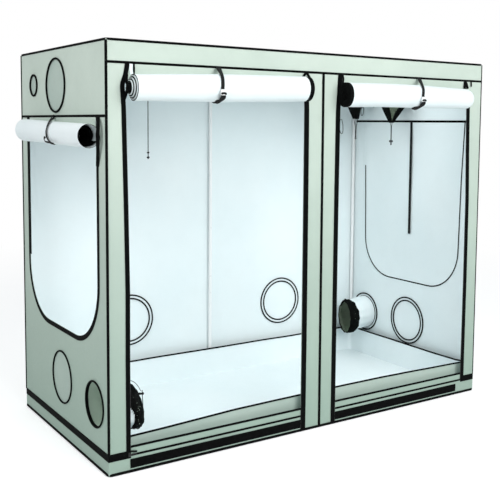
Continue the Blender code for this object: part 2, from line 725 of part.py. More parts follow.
def zip_slider():
    """The slider of the left front door's zip, with its pull tab."""
    name = "left_front_zip_slider"
    place = FRONT @ Matrix.Translation((-OUTER_EDGE - ZIP_OFFSET, 0, SLIDER_PLACE))
    half = SLIDER_WIDTH / 2
    low, high = (-half, -GAP - SLIDER_DEPTH, -SLIDER_HEIGHT / 2), (half, -GAP, SLIDER_HEIGHT / 2)
    piece = add(name, block(name, low, high, SLIDER_DEPTH / 4), BLACK_METAL, place)
    back = -GAP - SLIDER_DEPTH / 2
    low = (0, back - SLIDER_TAB_DEPTH, -SLIDER_TAB_HEIGHT / 2)
    high = (half + SLIDER_TAB_LENGTH, back, SLIDER_TAB_HEIGHT / 2)
    tab = block("tab", low, high, SLIDER_TAB_DEPTH / 4)
    boolean(piece, add("tab", tab, BLACK_METAL, place), "UNION")


def sleeve(name, material, wall, x, height, radius, reach, drop, shares):
    """A duct sleeve of cloth that leaves a port's flange inwards and gathers towards its end."""
    points = []
    for reach_share, drop_share, turn_share, radius_share, pleat in shares:
        centre = Vector((0, SLEEVE_ROOT + reach * reach_share, -drop * drop_share))
        turn = turn_share * math.pi / 2
        up = Vector((0, math.sin(turn), math.cos(turn)))
        for side in range(SLEEVE_SIDES):
            angle = math.tau * side / SLEEVE_SIDES
            size = (radius + CLOTH) * radius_share * (1 + pleat * math.cos(SLEEVE_PLEATS * angle))
            way = Vector((math.cos(angle), 0, 0)) + up * math.sin(angle)
            points.append(centre + way * size)
            points.append(centre + way * (size - CLOTH))
    faces = []
    rings = len(shares)
    for side in range(SLEEVE_SIDES):
        a, b = 2 * side, 2 * ((side + 1) % SLEEVE_SIDES)
        last = 2 * SLEEVE_SIDES * (rings - 1)
        faces.append((a, b, b + 1, a + 1))
        faces.append((last + a, last + a + 1, last + b + 1, last + b))
        for ring in range(rings - 1):
            here, there = 2 * SLEEVE_SIDES * ring, 2 * SLEEVE_SIDES * (ring + 1)
            faces.append((here + a, there + a, there + b, here + b))
            faces.append((here + a + 1, here + b + 1, there + b + 1, there + a + 1))
    mesh = smooth(closed_mesh(name, points, faces))
    add(name, mesh, material, wall @ Matrix.Translation((x, 0, height)))


def sleeves():
    port = (BIG_PORT_Y, SOCK_PORT_HEIGHT, SOCK_PORT_RADIUS)
    sock = (LARGE_SOCK_REACH, LARGE_SOCK_DROP, LARGE_SOCK_SHARES)
    sleeve("right_large_sleeve", BLACK_CLOTH, RIGHT, *port, *sock)
    port = (SMALL_PORT_Y, SMALL_PORT_HEIGHT, SMALL_PORT_RADIUS)
    sock = (SMALL_SOCK_REACH, SMALL_SOCK_DROP, SMALL_SOCK_SHARES)
    sleeve("right_small_sleeve", BLACK_CLOTH, RIGHT, *port, *sock)
    port = (DUCT_PORT_Y, DUCT_PORT_HEIGHT, DUCT_PORT_RADIUS)
    open_end = (SLEEVE_REACH, SLEEVE_DROP, SLEEVE_SHARES)
    sleeve("right_low_sleeve", WHITE_CLOTH, RIGHT, *port, *open_end)
    sleeve("left_low_sleeve", WHITE_CLOTH, LEFT, *port, *open_end)


def cord(name, route, material):
    """A round cord along a smooth curve through the points of a route."""
    curve = bpy.data.curves.new(name, "CURVE")
    curve.dimensions = "3D"
    curve.bevel_depth = CORD_RADIUS
    curve.bevel_resolution = 2
    curve.use_fill_caps = True
    points = smooth_route([Vector(point) for point in route])
    spline = curve.splines.new("POLY")
    spline.points.add(len(points) - 1)
    for point, place in zip(spline.points, points):
        point.co = (*place, 1)
    curve.materials.append(material)
    piece = bpy.data.objects.new(name, curve)
    bpy.context.scene.collection.objects.link(piece)
    return piece


def smooth_route(route):
    """Evenly stepped points on a smooth curve through a route's points."""
    ends = [2 * route[0] - route[1], *route, 2 * route[-1] - route[-2]]
    points = [route[0]]
    for before, start, end, after in zip(ends, ends[1:], ends[2:], ends[3:]):
        steps = max(1, round((end - start).length / CORD_STEP))
        for step in range(1, steps + 1):
            t = step / steps
            swing = (end - before) * t + (2 * before - 5 * start + 4 * end - after) * t**2
            swing += (3 * (start - end) + after - before) * t**3
            points.append(start + swing / 2)
    return points


def drawstring(name, x, height, port_radius, reach, drop, shares, meet, length):
    """A cord whose two strands hang from a sock's gathered end, meet, and turn back in a loop."""
    y = SLEEVE_ROOT + reach
    top = height - drop - GAP
    _, _, _, radius_share, pleat = shares[-1]
    wide = (port_radius + CLOTH) * radius_share * (1 + pleat) - CLOTH / 2
    close, loop = STRAND_SPACING / 2, LOOP_WIDTH / 2
    halfway = close + (wide - close) * MEETING_SHARE
    half = [(wide, 0), (wide, -CORD_STEP), (halfway, -meet / 2), (close, -meet)]
    half.append((close, LOOP_WIDTH - length))
    route = [(x + side, y, top + rise) for side, rise in half]
    for step in range(LOOP_POINTS + 1):
        turn = math.pi * step / LOOP_POINTS
        route.append((x + loop * math.cos(turn), y, top - length - loop * math.sin(turn)))
    route += [(x - side, y, top + rise) for side, rise in reversed(half)]
    cord(name, route, BLACK_CORD).matrix_world = RIGHT


def cords():
    port = (BIG_PORT_Y, SOCK_PORT_HEIGHT, SOCK_PORT_RADIUS)
    sock = (LARGE_SOCK_REACH, LARGE_SOCK_DROP, LARGE_SOCK_SHARES)
    drawstring("right_large_drawstring", *port, *sock, LARGE_STRANDS_MEET, LARGE_STRANDS_LENGTH)
    port = (SMALL_PORT_Y, SMALL_PORT_HEIGHT, SMALL_PORT_RADIUS)
    sock = (SMALL_SOCK_REACH, SMALL_SOCK_DROP, SMALL_SOCK_SHARES)
    drawstring("right_small_drawstring", *port, *sock, SMALL_STRANDS_MEET, SMALL_STRANDS_LENGTH)

    inside = CLOTH + GAP + CORD_RADIUS
    top = HEADER_SEAM + TIE_CORD_SEWN
    x = TIE_CORD_INSET - OUTER_EDGE
    route = [(x, inside, top), (x, inside, top - TIE_CORD_LENGTH)]
    cord("left_tie_cord", route, BLACK_CORD).matrix_world = FRONT

    _, _, turn_share, radius_share, _ = SLEEVE_SHARES[-1]
    angle, turn = math.radians(SLEEVE_CORD_ANGLE), turn_share * math.pi / 2
    rim = (DUCT_PORT_RADIUS + CLOTH) * radius_share
    x = DUCT_PORT_Y + rim * math.cos(angle)
    y = SLEEVE_ROOT + SLEEVE_REACH + rim * math.sin(angle) * math.sin(turn)
    y += CORD_RADIUS + SLEEVE_CORD_CLEARANCE
    z = DUCT_PORT_HEIGHT - SLEEVE_DROP + rim * math.sin(angle) * math.cos(turn)
    middle = (x, y + SLEEVE_CORD_SWAY, z - SLEEVE_CORD_LENGTH / 2)
    route = [(x, y, z), middle, (x, y + SLEEVE_CORD_SWAY, z - SLEEVE_CORD_LENGTH)]
    cord("left_low_drawstring", route, BLACK_CORD).matrix_world = LEFT


def cord_lock():
    """A spring lock: a barrel with one slot round both strands of the large drawstring."""
    name = "right_large_cord_lock"
    height = SOCK_PORT_HEIGHT - LARGE_SOCK_DROP - LOCK_PLACE
    place = RIGHT @ Matrix.Translation((BIG_PORT_Y, SLEEVE_ROOT + LARGE_SOCK_REACH, height))
    barrel = cylinder(name, LOCK_RADIUS, -LOCK_LENGTH / 2, LOCK_LENGTH / 2, LOCK_SIDES)
    piece = add(name, barrel, BLACK_PLASTIC, place @ along((1, 0, 0)))
    half = Vector((STRAND_SPACING / 2 + CORD_RADIUS + GAP, CORD_RADIUS + GAP, LOCK_RADIUS + OVERRUN))
    slot = block("slot", -half, half)
    boolean(piece, add("slot", slot, BLACK_PLASTIC, place), "DIFFERENCE")
    smooth(piece.data)


clear_scene()

WHITE_STEEL = paint("white_steel", (0.86, 0.87, 0.87), 0.35)
BLACK_METAL = paint("black_metal", (0.02, 0.02, 0.022), 0.4, 0.8)
BLACK_PLASTIC = paint("black_plastic", (0.02, 0.02, 0.022), 0.5)
WHITE_PLASTIC = paint("white_plastic", (0.85, 0.86, 0.86), 0.45)
GREY_CLOTH = paint("grey_green_cloth", (0.42, 0.52, 0.46), 0.8)
WHITE_CLOTH = paint("white_cloth", (0.88, 0.92, 0.93), 0.7)
BLACK_CLOTH = paint("black_cloth", (0.018, 0.024, 0.022), 0.85)
BLACK_WEBBING = paint("black_webbing", (0.012, 0.012, 0.013), 0.8)
BLACK_CORD = paint("black_cord", (0.012, 0.012, 0.013), 0.75)

frame_tubes()
connectors()
hanging_bar("hanging_bar_left", -BAR_PLACE_SHARE * WIDTH / 2)
hanging_bar("hanging_bar_right", BAR_PLACE_SHARE * WIDTH / 2)
cover_panels()
right_side_door()
floor_tray()
rolled_doors()
front_strap("left", LEFT_STRAP_SHIFT - DOORWAY_MIDDLE, LEFT_STRAP_LEAN)
front_strap("right", RIGHT_STRAP_SHIFT + DOORWAY_MIDDLE, RIGHT_STRAP_LEAN)
side_strap()
hanging_strap()
zip_slider()
sleeves()
cords()
cord_lock()
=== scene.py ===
import math

import bpy
import numpy as np
from mathutils import Matrix, Vector, noise
from mathutils.geometry import delaunay_2d_cdt


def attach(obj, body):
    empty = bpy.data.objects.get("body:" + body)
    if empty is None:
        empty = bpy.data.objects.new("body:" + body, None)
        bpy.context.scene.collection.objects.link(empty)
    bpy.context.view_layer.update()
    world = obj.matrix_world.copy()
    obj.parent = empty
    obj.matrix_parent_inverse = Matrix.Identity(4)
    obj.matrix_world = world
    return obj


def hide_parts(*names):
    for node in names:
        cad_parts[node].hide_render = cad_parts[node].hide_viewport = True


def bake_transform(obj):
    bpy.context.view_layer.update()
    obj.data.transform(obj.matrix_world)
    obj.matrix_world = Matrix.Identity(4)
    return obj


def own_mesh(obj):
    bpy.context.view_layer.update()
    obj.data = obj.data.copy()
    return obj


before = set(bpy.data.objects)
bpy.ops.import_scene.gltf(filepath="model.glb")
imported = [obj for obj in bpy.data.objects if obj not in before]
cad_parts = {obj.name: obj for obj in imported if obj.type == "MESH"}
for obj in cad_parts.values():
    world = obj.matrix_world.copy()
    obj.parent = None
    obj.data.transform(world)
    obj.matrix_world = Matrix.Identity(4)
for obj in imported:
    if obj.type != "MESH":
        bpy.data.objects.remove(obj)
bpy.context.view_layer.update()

# The camera. It stands off the left front corner, a little under the tent's top, and looks slightly down.
# The tent is 2.4 m wide, 1.2 m deep and 2.0 m high, and its outline fits the photograph from here.
CAMERA_PLACE = (-2.676, -4.145, 1.627)
CAMERA_TURN, CAMERA_RISE, CAMERA_ROLL = math.radians(-34.47), math.radians(4.97), math.radians(0.59)
back = Vector((
    math.sin(CAMERA_TURN) * math.cos(CAMERA_RISE),
    -math.cos(CAMERA_TURN) * math.cos(CAMERA_RISE),
    math.sin(CAMERA_RISE),
))
level = Vector((0, 0, 1)).cross(back).normalized()
upright = back.cross(level)
across = level * math.cos(CAMERA_ROLL) + upright * math.sin(CAMERA_ROLL)
upright = upright * math.cos(CAMERA_ROLL) - level * math.sin(CAMERA_ROLL)
camera = bpy.data.objects.new("camera", bpy.data.cameras.new("camera"))
bpy.context.scene.collection.objects.link(camera)
camera.matrix_world = Matrix.Translation(CAMERA_PLACE) @ Matrix((across, upright, back)).transposed().to_4x4()
camera.data.sensor_width = 36
camera.data.lens = 60.62
camera.data.shift_x = -0.066
camera.data.shift_y = -0.1034
camera.data.clip_start, camera.data.clip_end = 0.1, 200
bpy.context.scene.camera = camera
bpy.context.scene.view_settings.view_transform = "Standard"


# Cords. Thin black braided cord draws in the sleeves' ends, and one more hangs from the header as a tie.
# Each is one length of 4 mm braid, sewn in or knotted where it starts, with a knot or a lock on it.
CORD_RADIUS = 0.002


class Finish:
    """One material, with short calls that add its nodes and wire them."""

    def __init__(self, name, roughness, **sockets):
        self.material = bpy.data.materials.new(name)
        self.material.use_nodes = True
        self.tree = self.material.node_tree
        self.shader = self.tree.nodes["Principled BSDF"]
        self.shader.inputs["Roughness"].default_value = roughness
        for socket, value in sockets.items():
            self.shader.inputs[socket.replace("_", " ")].default_value = value
        place = self.tree.nodes.new("ShaderNodeTexCoord")
        self.place, self.run = place.outputs["Object"], place.outputs["UV"]
        self.height = None

    def node(self, kind, out=0, settings=None, **inputs):
        made = self.tree.nodes.new("ShaderNode" + kind)
        for key, value in (settings or {}).items():
            setattr(made, key, value)
        for key, value in inputs.items():
            socket = made.inputs[int(key[1:])] if key[0] == "i" and key[1:].isdigit() else made.inputs[key]
            if isinstance(value, bpy.types.NodeSocket):
                self.tree.links.new(value, socket)
            else:
                socket.default_value = value
        return made.outputs[out]

    def sum(self, operation, *values):
        return self.node(
            "Math", settings={"operation": operation}, **{f"i{i}": v for i, v in enumerate(values)}
        )

    def cloud(self, scale, detail=3):
        return self.node("TexNoise", Vector=self.place, Scale=scale, Detail=detail, Roughness=0.55)

    def threads(self, wavelength, direction):
        """Even ridges along X or Y of the piece's own cloth coordinates, in metres."""
        return self.node(
            "TexWave",
            out=1,
            settings={"wave_type": "BANDS", "bands_direction": direction},
            Vector=self.run,
            Scale=math.tau / 20 / wavelength,
            Distortion=0.0,
        )

    def spread(self, value, low, high, start=0.35, end=0.65):
        """A value of 0 to 1 turned into a range."""
        return self.node(
            "MapRange",
            settings={"clamp": True},
            Value=value,
            **{"From Min": start, "From Max": end, "To Min": low, "To Max": high},
        )

    def colours(self, share, first, second):
        return self.node(
            "Mix",
            out=2,
            settings={"data_type": "RGBA"},
            i0=share,
            i6=(*first, 1.0),
            i7=(*second, 1.0),
        )

    def shade(self, colour, share, by):
        """A colour darkened where a share is high."""
        return self.node(
            "Mix",
            out=2,
            settings={"data_type": "RGBA", "blend_type": "MULTIPLY"},
            i0=share,
            i6=colour,
            i7=(by, by, by, 1.0),
        )

    def paint(self, colour):
        self.tree.links.new(colour, self.shader.inputs["Base Color"])

    def polish(self, value):
        self.tree.links.new(value, self.shader.inputs["Roughness"])

    def relief(self, height, depth, strength=1.0):
        inputs = {"Height": height, "Distance": depth, "Strength": strength}
        if self.height:
            inputs["Normal"] = self.height
        self.height = self.node("Bump", **inputs)
        self.tree.links.new(self.height, self.shader.inputs["Normal"])


def braided_cord():
    finish = Finish("braided_cord", 0.75, Specular_IOR_Level=0.2)
    first = finish.threads(0.003, "DIAGONAL")
    second = finish.threads(0.0021, "Y")
    braid = finish.sum("MULTIPLY", first, second)
    share = finish.spread(braid, 0, 1, 0, 1)
    finish.paint(finish.colours(share, (0.005, 0.006, 0.006), (0.015, 0.016, 0.017)))
    finish.relief(braid, 0.0003)
    return finish.material


BRAID = braided_cord()


def place_mesh(name, vertices, faces, uvs, materials, body, slots=None, sharp=35):
    """A mesh piece with its cloth coordinates, smooth shaded, riding on a body."""
    mesh = bpy.data.meshes.new(name)
    mesh.from_pydata([tuple(v) for v in vertices], [], faces)
    layer = mesh.uv_layers.new(name="UVMap")
    layer.data.foreach_set("uv", np.array(uvs, dtype=np.float32).ravel())
    for material in materials:
        mesh.materials.append(material)
    if slots is not None:
        mesh.polygons.foreach_set("material_index", slots)
    mesh.shade_smooth()
    mesh.set_sharp_from_angle(angle=math.radians(sharp))
    piece = bpy.data.objects.new(name, mesh)
    bpy.context.scene.collection.objects.link(piece)
    if body:
        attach(piece, body)
    return piece


def sweep(name, path, section, material, body="tent", face=(0, -1, 0), loop=False, sizes=None):
    """A section carried along a path, its second axis to the face direction. Sizes may narrow it."""
    path = [Vector(p) for p in path]
    count, size = len(path), len(section)
    flat = max(abs(a) for a, _ in section) > 1.5 * max(abs(b) for _, b in section)
    half = max(abs(a) for a, _ in section)
    rim = [0.0]
    for i in range(size):
        rim.append(rim[-1] + math.dist(section[i], section[(i + 1) % size]))
    vertices, run = [], [0.0]
    for i, place in enumerate(path):
        before = path[i - 1] if i or loop else place
        after = path[(i + 1) % count] if i < count - 1 or loop else place
        way = (after - before).normalized()
        out = Vector(face[i] if isinstance(face, list) else face)
        out = (out - way * out.dot(way)).normalized()
        side = way.cross(out)
        spare = 1.0
        if before != place and after != place:
            spare = 1 / max((place - before).normalized().dot(way), 0.6)
        wide = sizes[i] if sizes else 1.0
        for a, b in section:
            vertices.append(place + side * a * spare * wide + out * b * (wide if not flat else 1.0))
        run.append(run[-1] + (after - place).length)
    faces, uvs = [], []

    def across_share(j):
        return half - abs(section[j % size][0]) if flat else rim[j]

    for i in range(count if loop else count - 1):
        here, there = i * size, (i + 1) % count * size
        for j in range(size):
            k = (j + 1) % size
            faces.append((here + j, there + j, there + k, here + k))
            u, w = across_share(j), across_share(j + 1)
            uvs += [(u, run[i]), (u, run[i + 1]), (w, run[i + 1]), (w, run[i])]
    if not loop:
        for start, order in ((0, range(size)), ((count - 1) * size, range(size - 1, -1, -1))):
            faces.append(tuple(start + j for j in order))
            uvs += [(0.0, 0.0)] * size
    return place_mesh(name, vertices, faces, uvs, [material], body)


def round_section(radius, sides=8):
    turns = [math.tau * i / sides for i in range(sides)]
    return [(radius * math.cos(t), radius * math.sin(t)) for t in turns]


def tape_section(width, thickness, crown=0.0):
    """A flat strip with rounded edges, and a fuller middle where crown is given."""
    w, t = width / 2, thickness / 2
    return [
        (-w, 0), (t * 0.6 - w, -t), (0, -t), (w - t * 0.6, -t), (w, 0), (w - t * 0.6, t), (0, t + crown),
        (t * 0.6 - w, t)
    ]


def smooth_route(route, step=0.006):
    """Evenly stepped points on a smooth curve through a route's points."""
    route = [Vector(p) for p in route]
    ends = [2 * route[0] - route[1], *route, 2 * route[-1] - route[-2]]
    points = [route[0]]
    for before, start, end, after in zip(ends, ends[1:], ends[2:], ends[3:]):
        steps = max(1, round((end - start).length / step))
        for i in range(1, steps + 1):
            t = i / steps
            swing = (end - before) * t + (2 * before - 5 * start + 4 * end - after) * t**2
            swing += (3 * (start - end) + after - before) * t**3
            points.append(start + swing / 2)
    return points


def knot(name, centre, size):
    """An overhand knot, pulled tight: a short cord tied through its own loop."""
    points = []
    for i in range(48):
        t = math.tau * i / 48
        points.append(Vector(centre) + size * Vector((
            math.sin(t) + 2 * math.sin(2 * t),
            math.cos(t) - 2 * math.cos(2 * t),
            -1.4 * math.sin(3 * t),
        )).xzy)
    piece = sweep(name, points, round_section(CORD_RADIUS), BRAID, face=(0.3, -1, 0.2), loop=True)
    return piece


def cord(name, route):
    """A limp length of braid along a route."""
    path = smooth_route(route)
    piece = sweep(name, path, round_section(CORD_RADIUS), BRAID, face=(0.4, -1, 0.1))
    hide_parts(name.removesuffix("_braid"))
    return piece


def drawstring(name, x, y, top, wide, meet, length):
    """Two strands that hang from a sock's gathered end, meet, and turn back in a loop."""
    close, loop = 0.0026, 0.0055
    halfway = close + (wide - close) * 0.3
    half = [(wide, 0), (wide, -0.011), (halfway, -meet / 2), (close, -meet), (close, 0.011 - length)]
    route = [(x, y + side, top + drop) for side, drop in half]
    for step in range(7):
        turn = math.pi * step / 6
        route.append((x, y + loop * math.cos(turn), top - length - loop * math.sin(turn)))
    route += [(x, y - side, top + drop) for side, drop in reversed(half)]
    return cord(name, route)


drawstring(
    "right_large_drawstring_braid", x=1.0592, y=0.044, top=1.6487, wide=0.0060, meet=0.034, length=0.139,
)
drawstring(
    "right_small_drawstring_braid", x=1.0362, y=0.384, top=1.6737, wide=0.0204, meet=0.095, length=0.132,
)
TIE_X, TIE_Y = -0.995, -0.5962
tie_knots = [
    knot("left_tie_cord_knot", (TIE_X, TIE_Y, 1.4715), 0.0017),
    knot("left_tie_cord_upper_knot", (TIE_X, TIE_Y, 1.494), 0.0013)
]
tie_route = [(TIE_X, TIE_Y, 1.93), (TIE_X, TIE_Y, 1.70), (TIE_X, TIE_Y, 1.47)]
cord("left_tie_cord_braid", tie_route)
low_route = [(-0.992, -0.513, 0.352), (-0.989, -0.5144, 0.285), (-0.987, -0.5144, 0.207)]
low_pieces = [knot("left_low_drawstring_knot", (-0.987, -0.5144, 0.2075), 0.0015)]
barrel = [
    (-1.0165, 0.6), (-1.0150, 0.95), (-1.007, 1.0), (-1.0025, 0.8), (-0.9975, 0.8), (-0.993, 1.0),
    (-0.9885, 0.95), (-0.9870, 0.6)
]
lock_path = [(x, -0.5205, 0.3385 - 0.1 * (x + 1.0)) for x, _ in barrel]
lock_sizes = [size for _, size in barrel]
lock_section = round_section(0.0062, 12)
lock = sweep("left_low_cord_lock", lock_path, lock_section, BRAID, face=(0, -1, 0), sizes=lock_sizes)
low_pieces.append(lock)
loop_route = [
    (-1.043, -0.470, 0.392), (-1.039, -0.492, 0.4005), (-1.033, -0.520, 0.398), (-1.026, -0.545, 0.384),
    (-1.019, -0.557, 0.364)
]
LOOP_RADIUS = 0.0014
loop_section = round_section(LOOP_RADIUS)
loop = sweep("left_low_drawstring_loop", smooth_route(loop_route), loop_section, BRAID, face=(0, -0.3, 1))
low_pieces.append(loop)
cord("left_low_drawstring_braid", low_route)


# Light and floor. A large soft lamp in front lights the tent, a weaker one stands at its left, and the
# white cloth inside passes the light on. The floor is plain and pale, and the room behind it is white.
def lamp(name, place, aim, width, height, power):
    light = bpy.data.lights.new(name, "AREA")
    light.shape = "RECTANGLE"
    light.size, light.size_y = width, height
    light.energy = power
    piece = bpy.data.objects.new(name, light)
    bpy.context.scene.collection.objects.link(piece)
    piece.location = place
    piece.rotation_euler = (Vector(place) - Vector(aim)).to_track_quat("Z", "Y").to_euler()
    piece.visible_camera = False
    return piece


lamp("front_lamp", (0.3, -5.6, 3.7), aim=(0, 0, 1.1), width=4.5, height=3.0, power=256)
lamp("left_lamp", (-5.0, -1.2, 4.2), aim=(-0.8, 0, 1.7), width=2.5, height=2.5, power=98)
inside_lamp = lamp("inside_lamp", (0.35, -0.12, 1.93), aim=(0.35, -0.05, 0), width=1.5, height=0.7, power=6.3)
inside_lamp.data.spread = math.radians(155)

room = bpy.data.worlds.new("white_room")
room.use_nodes = True
bpy.context.scene.world = room
nodes, links = room.node_tree.nodes, room.node_tree.links
nodes.clear()
rays = nodes.new("ShaderNodeLightPath")
seen = nodes.new("ShaderNodeMath")
seen.operation = "MAXIMUM"
links.new(rays.outputs["Is Camera Ray"], seen.inputs[0])
links.new(rays.outputs["Is Glossy Ray"], seen.inputs[1])
through = nodes.new("ShaderNodeMath")
through.operation = "MAXIMUM"
links.new(seen.outputs[0], through.inputs[0])
links.new(rays.outputs["Is Transmission Ray"], through.inputs[1])
soft, white = nodes.new("ShaderNodeBackground"), nodes.new("ShaderNodeBackground")
soft.inputs["Color"].default_value = (0.93, 0.97, 1.0, 1)
soft.inputs["Strength"].default_value = 0.5
white.inputs["Color"].default_value = (1, 1, 1, 1)
choice, output = nodes.new("ShaderNodeMixShader"), nodes.new("ShaderNodeOutputWorld")
links.new(through.outputs[0], choice.inputs[0])
links.new(soft.outputs[0], choice.inputs[1])
links.new(white.outputs[0], choice.inputs[2])
links.new(choice.outputs[0], output.inputs[0])


def floor_finish():
    finish = Finish("pale_floor", 0.85)
    tree = finish.tree
    finish.paint(finish.colours(finish.cloud(6), (0.80, 0.81, 0.81), (0.84, 0.845, 0.845)))
    rays = tree.nodes.new("ShaderNodeLightPath")
    seen = finish.sum("MAXIMUM", rays.outputs["Is Camera Ray"], rays.outputs["Is Glossy Ray"])
    seen = finish.sum("MAXIMUM", seen, rays.outputs["Is Transmission Ray"])
    lift = tree.nodes.new("ShaderNodeEmission")
    tree.links.new(finish.sum("MULTIPLY", seen, 0.45), lift.inputs["Strength"])
    both = tree.nodes.new("ShaderNodeAddShader")
    tree.links.new(finish.shader.outputs[0], both.inputs[0])
    tree.links.new(lift.outputs[0], both.inputs[1])
    away = finish.node("VectorMath", out=1, settings={"operation": "LENGTH"}, i0=finish.place)
    far = finish.sum("MULTIPLY", finish.spread(away, 0, 1, 3.0, 7.0), seen)
    white = tree.nodes.new("ShaderNodeEmission")
    blend = tree.nodes.new("ShaderNodeMixShader")
    tree.links.new(far, blend.inputs[0])
    tree.links.new(both.outputs[0], blend.inputs[1])
    tree.links.new(white.outputs[0], blend.inputs[2])
    tree.links.new(blend.outputs[0], tree.nodes["Material Output"].inputs[0])
    return finish.material


FLOOR_REACH, FLOOR_LEVEL = 30, -0.0045
square = [(0, 0), (1, 0), (1, 1), (0, 1)]
corners = [((2 * a - 1) * FLOOR_REACH, (2 * b - 1) * FLOOR_REACH, FLOOR_LEVEL) for a, b in square]
place_mesh("floor", corners, [(0, 1, 2, 3)], square, [floor_finish()], body=None)


# Frame. Round steel tubes with a white powder coat are pushed into moulded black corner pieces, and two
# more tubes hang across from the top rails for lamps and filters.
def powder_coat():
    finish = Finish("white_powder_coat", 0.34, Coat_Weight=0.15, Coat_Roughness=0.3)
    patch = finish.cloud(7)
    rubbed = finish.spread(finish.cloud(38, 6), 0, 1, 0.62, 0.72)
    colour = finish.colours(patch, (0.83, 0.85, 0.85), (0.88, 0.885, 0.885))
    finish.paint(finish.shade(colour, finish.sum("MULTIPLY", rubbed, 0.25), 0.55))
    finish.polish(finish.spread(patch, 0.28, 0.42))
    finish.relief(finish.cloud(620, 2), 0.00012, 0.5)
    return finish.material


def moulded_black():
    finish = Finish("moulded_black", 0.45, Specular_IOR_Level=0.45)
    patch = finish.cloud(25, 4)
    finish.paint(finish.colours(patch, (0.016, 0.017, 0.018), (0.034, 0.035, 0.037)))
    finish.polish(finish.spread(finish.cloud(120), 0.38, 0.55))
    finish.relief(finish.cloud(1400, 2), 0.0001, 0.5)
    return finish.material


WHITE_COAT, MOULDED = powder_coat(), moulded_black()


def repaint(node, material):
    """Gives a CAD node its finish."""
    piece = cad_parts[node]
    for slot in piece.material_slots:
        slot.material = material
    if not piece.material_slots:
        piece.data.materials.append(material)


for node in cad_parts:
    if "post" in node or "rail" in node or node.startswith("hanging_bar"):
        repaint(node, WHITE_COAT)
    elif node.endswith("connector"):
        repaint(node, MOULDED)


# Cover. Coated woven cloth, grey-green outside and white inside, is cut into panels and sewn along the
# edges. It is stretched over the frame, so it lies flat at its seams and slackens a little between them.
WIDTH, DEPTH, HEIGHT = 2.4, 1.2, 2.0
CLOTH = 0.0015
SEAM_HEIGHT, HEADER_SEAM, SILL = 1.66, 1.90, 0.122
INNER_EDGE = 0.115


YARN, FINE_YARN = 0.0011, 0.0009


def woven(name, first, second, roughness, dirt=0.12, foot=0.0):
    """Coated cloth: crossed yarns, uneven dye and a little dirt, with painted shade at its foot where foot is
    given.
    """
    finish = Finish(name, roughness, Sheen_Weight=0.1, Sheen_Roughness=0.45, Specular_IOR_Level=0.35)
    over, under = finish.threads(YARN, "X"), finish.threads(YARN, "Y")
    weave = finish.sum("MULTIPLY", over, under)
    patch = finish.cloud(1.6, 2)
    colour = finish.colours(finish.spread(patch, 0, 1, 0.3, 0.7), first, second)
    colour = finish.shade(colour, finish.spread(finish.cloud(14, 5), 0, dirt, 0.45, 0.8), 0.72)
    colour = finish.shade(colour, finish.spread(weave, 0.12, 0, 0, 0.5), 0.7)
    # Painted shade: lower down, the colour is mixed towards a darker green shadow colour by the foot share.
    if foot:
        up = finish.node("SeparateXYZ", out=2, i0=finish.place)
        low = finish.spread(up, foot, 0, 0.1, 1.8)
        shadow = (0.265, 0.375, 0.31, 1)
        colour = finish.node("Mix", out=2, settings={"data_type": "RGBA"}, i0=low, i6=colour, i7=shadow)
    finish.paint(colour)
    finish.polish(finish.spread(finish.cloud(60, 3), roughness - 0.07, roughness + 0.07))
    finish.relief(finish.cloud(55, 4), 0.0007, 0.35)
    finish.relief(weave, 0.00012, 0.5)
    return finish.material


# The cover cloth carries a strong painted shade towards the floor (foot=0.84).
OUTSIDE = woven("grey_green_cover_cloth", (0.50, 0.59, 0.52), (0.57, 0.66, 0.585), 0.62, foot=0.84)
INSIDE = woven("white_lining_cloth", (0.78, 0.87, 0.885), (0.83, 0.90, 0.91), 0.5, dirt=0.05)


def wall_frame(turn, distance):
    """A wall's own frame: X runs along it, -Y points out of it from its outer face, and Z is up."""
    return Matrix.Rotation(math.radians(turn), 4, "Z") @ Matrix.Translation((0, -distance, 0))


FRONT, RIGHT = wall_frame(0, DEPTH / 2), wall_frame(90, WIDTH / 2)
BACK, LEFT = wall_frame(180, DEPTH / 2), wall_frame(270, WIDTH / 2)
TOP = Matrix.Translation((0, 0, HEIGHT)) @ Matrix.Rotation(math.radians(-90), 4, "X")
BOTTOM = Matrix.Rotation(math.radians(90), 4, "X")


def arc(x, z, radius, start, end, count):
    turns = [math.radians(start + (end - start) * i / count) for i in range(count + 1)]
    return [(x + radius * math.cos(t), z + radius * math.sin(t)) for t in turns]


def circle(x, z, radius, count=64):
    return arc(x, z, radius, 0, 360, count)[:-1]


def rectangle(left, right, low, high):
    return [(left, low), (right, low), (right, high), (left, high)]


SIDE_DOOR_HALF, SIDE_DOOR_FOOT, SIDE_DOOR_CORNER = 0.485, 0.585, 0.29


def u_shape(inset, top):
    """The outline of a side doorway, drawn in by an inset."""
    half, low, radius = SIDE_DOOR_HALF - inset, SIDE_DOOR_FOOT + inset, SIDE_DOOR_CORNER - inset
    left = arc(radius - half, low + radius, radius, 180, 270, 16)
    right = arc(half - radius, low + radius, radius, 270, 360, 16)
    return [(-half, top), *left, *right, (half, top)]


def stepped(corners, step):
    """An outline with points added along its long sides."""
    points = []
    for (x, z), (u, w) in zip(corners, corners[1:] + corners[:1]):
        count = max(1, round(math.dist((x, z), (u, w)) / step))
        points += [(x + (u - x) * i / count, z + (w - z) * i / count) for i in range(count)]
    return points


def inside(point, corners):
    x, z = point
    crossings = 0
    for (a, b), (c, d) in zip(corners, corners[1:] + corners[:1]):
        if (b > z) != (d > z) and x < a + (z - b) * (c - a) / (d - b):
            crossings += 1
    return crossings % 2 == 1


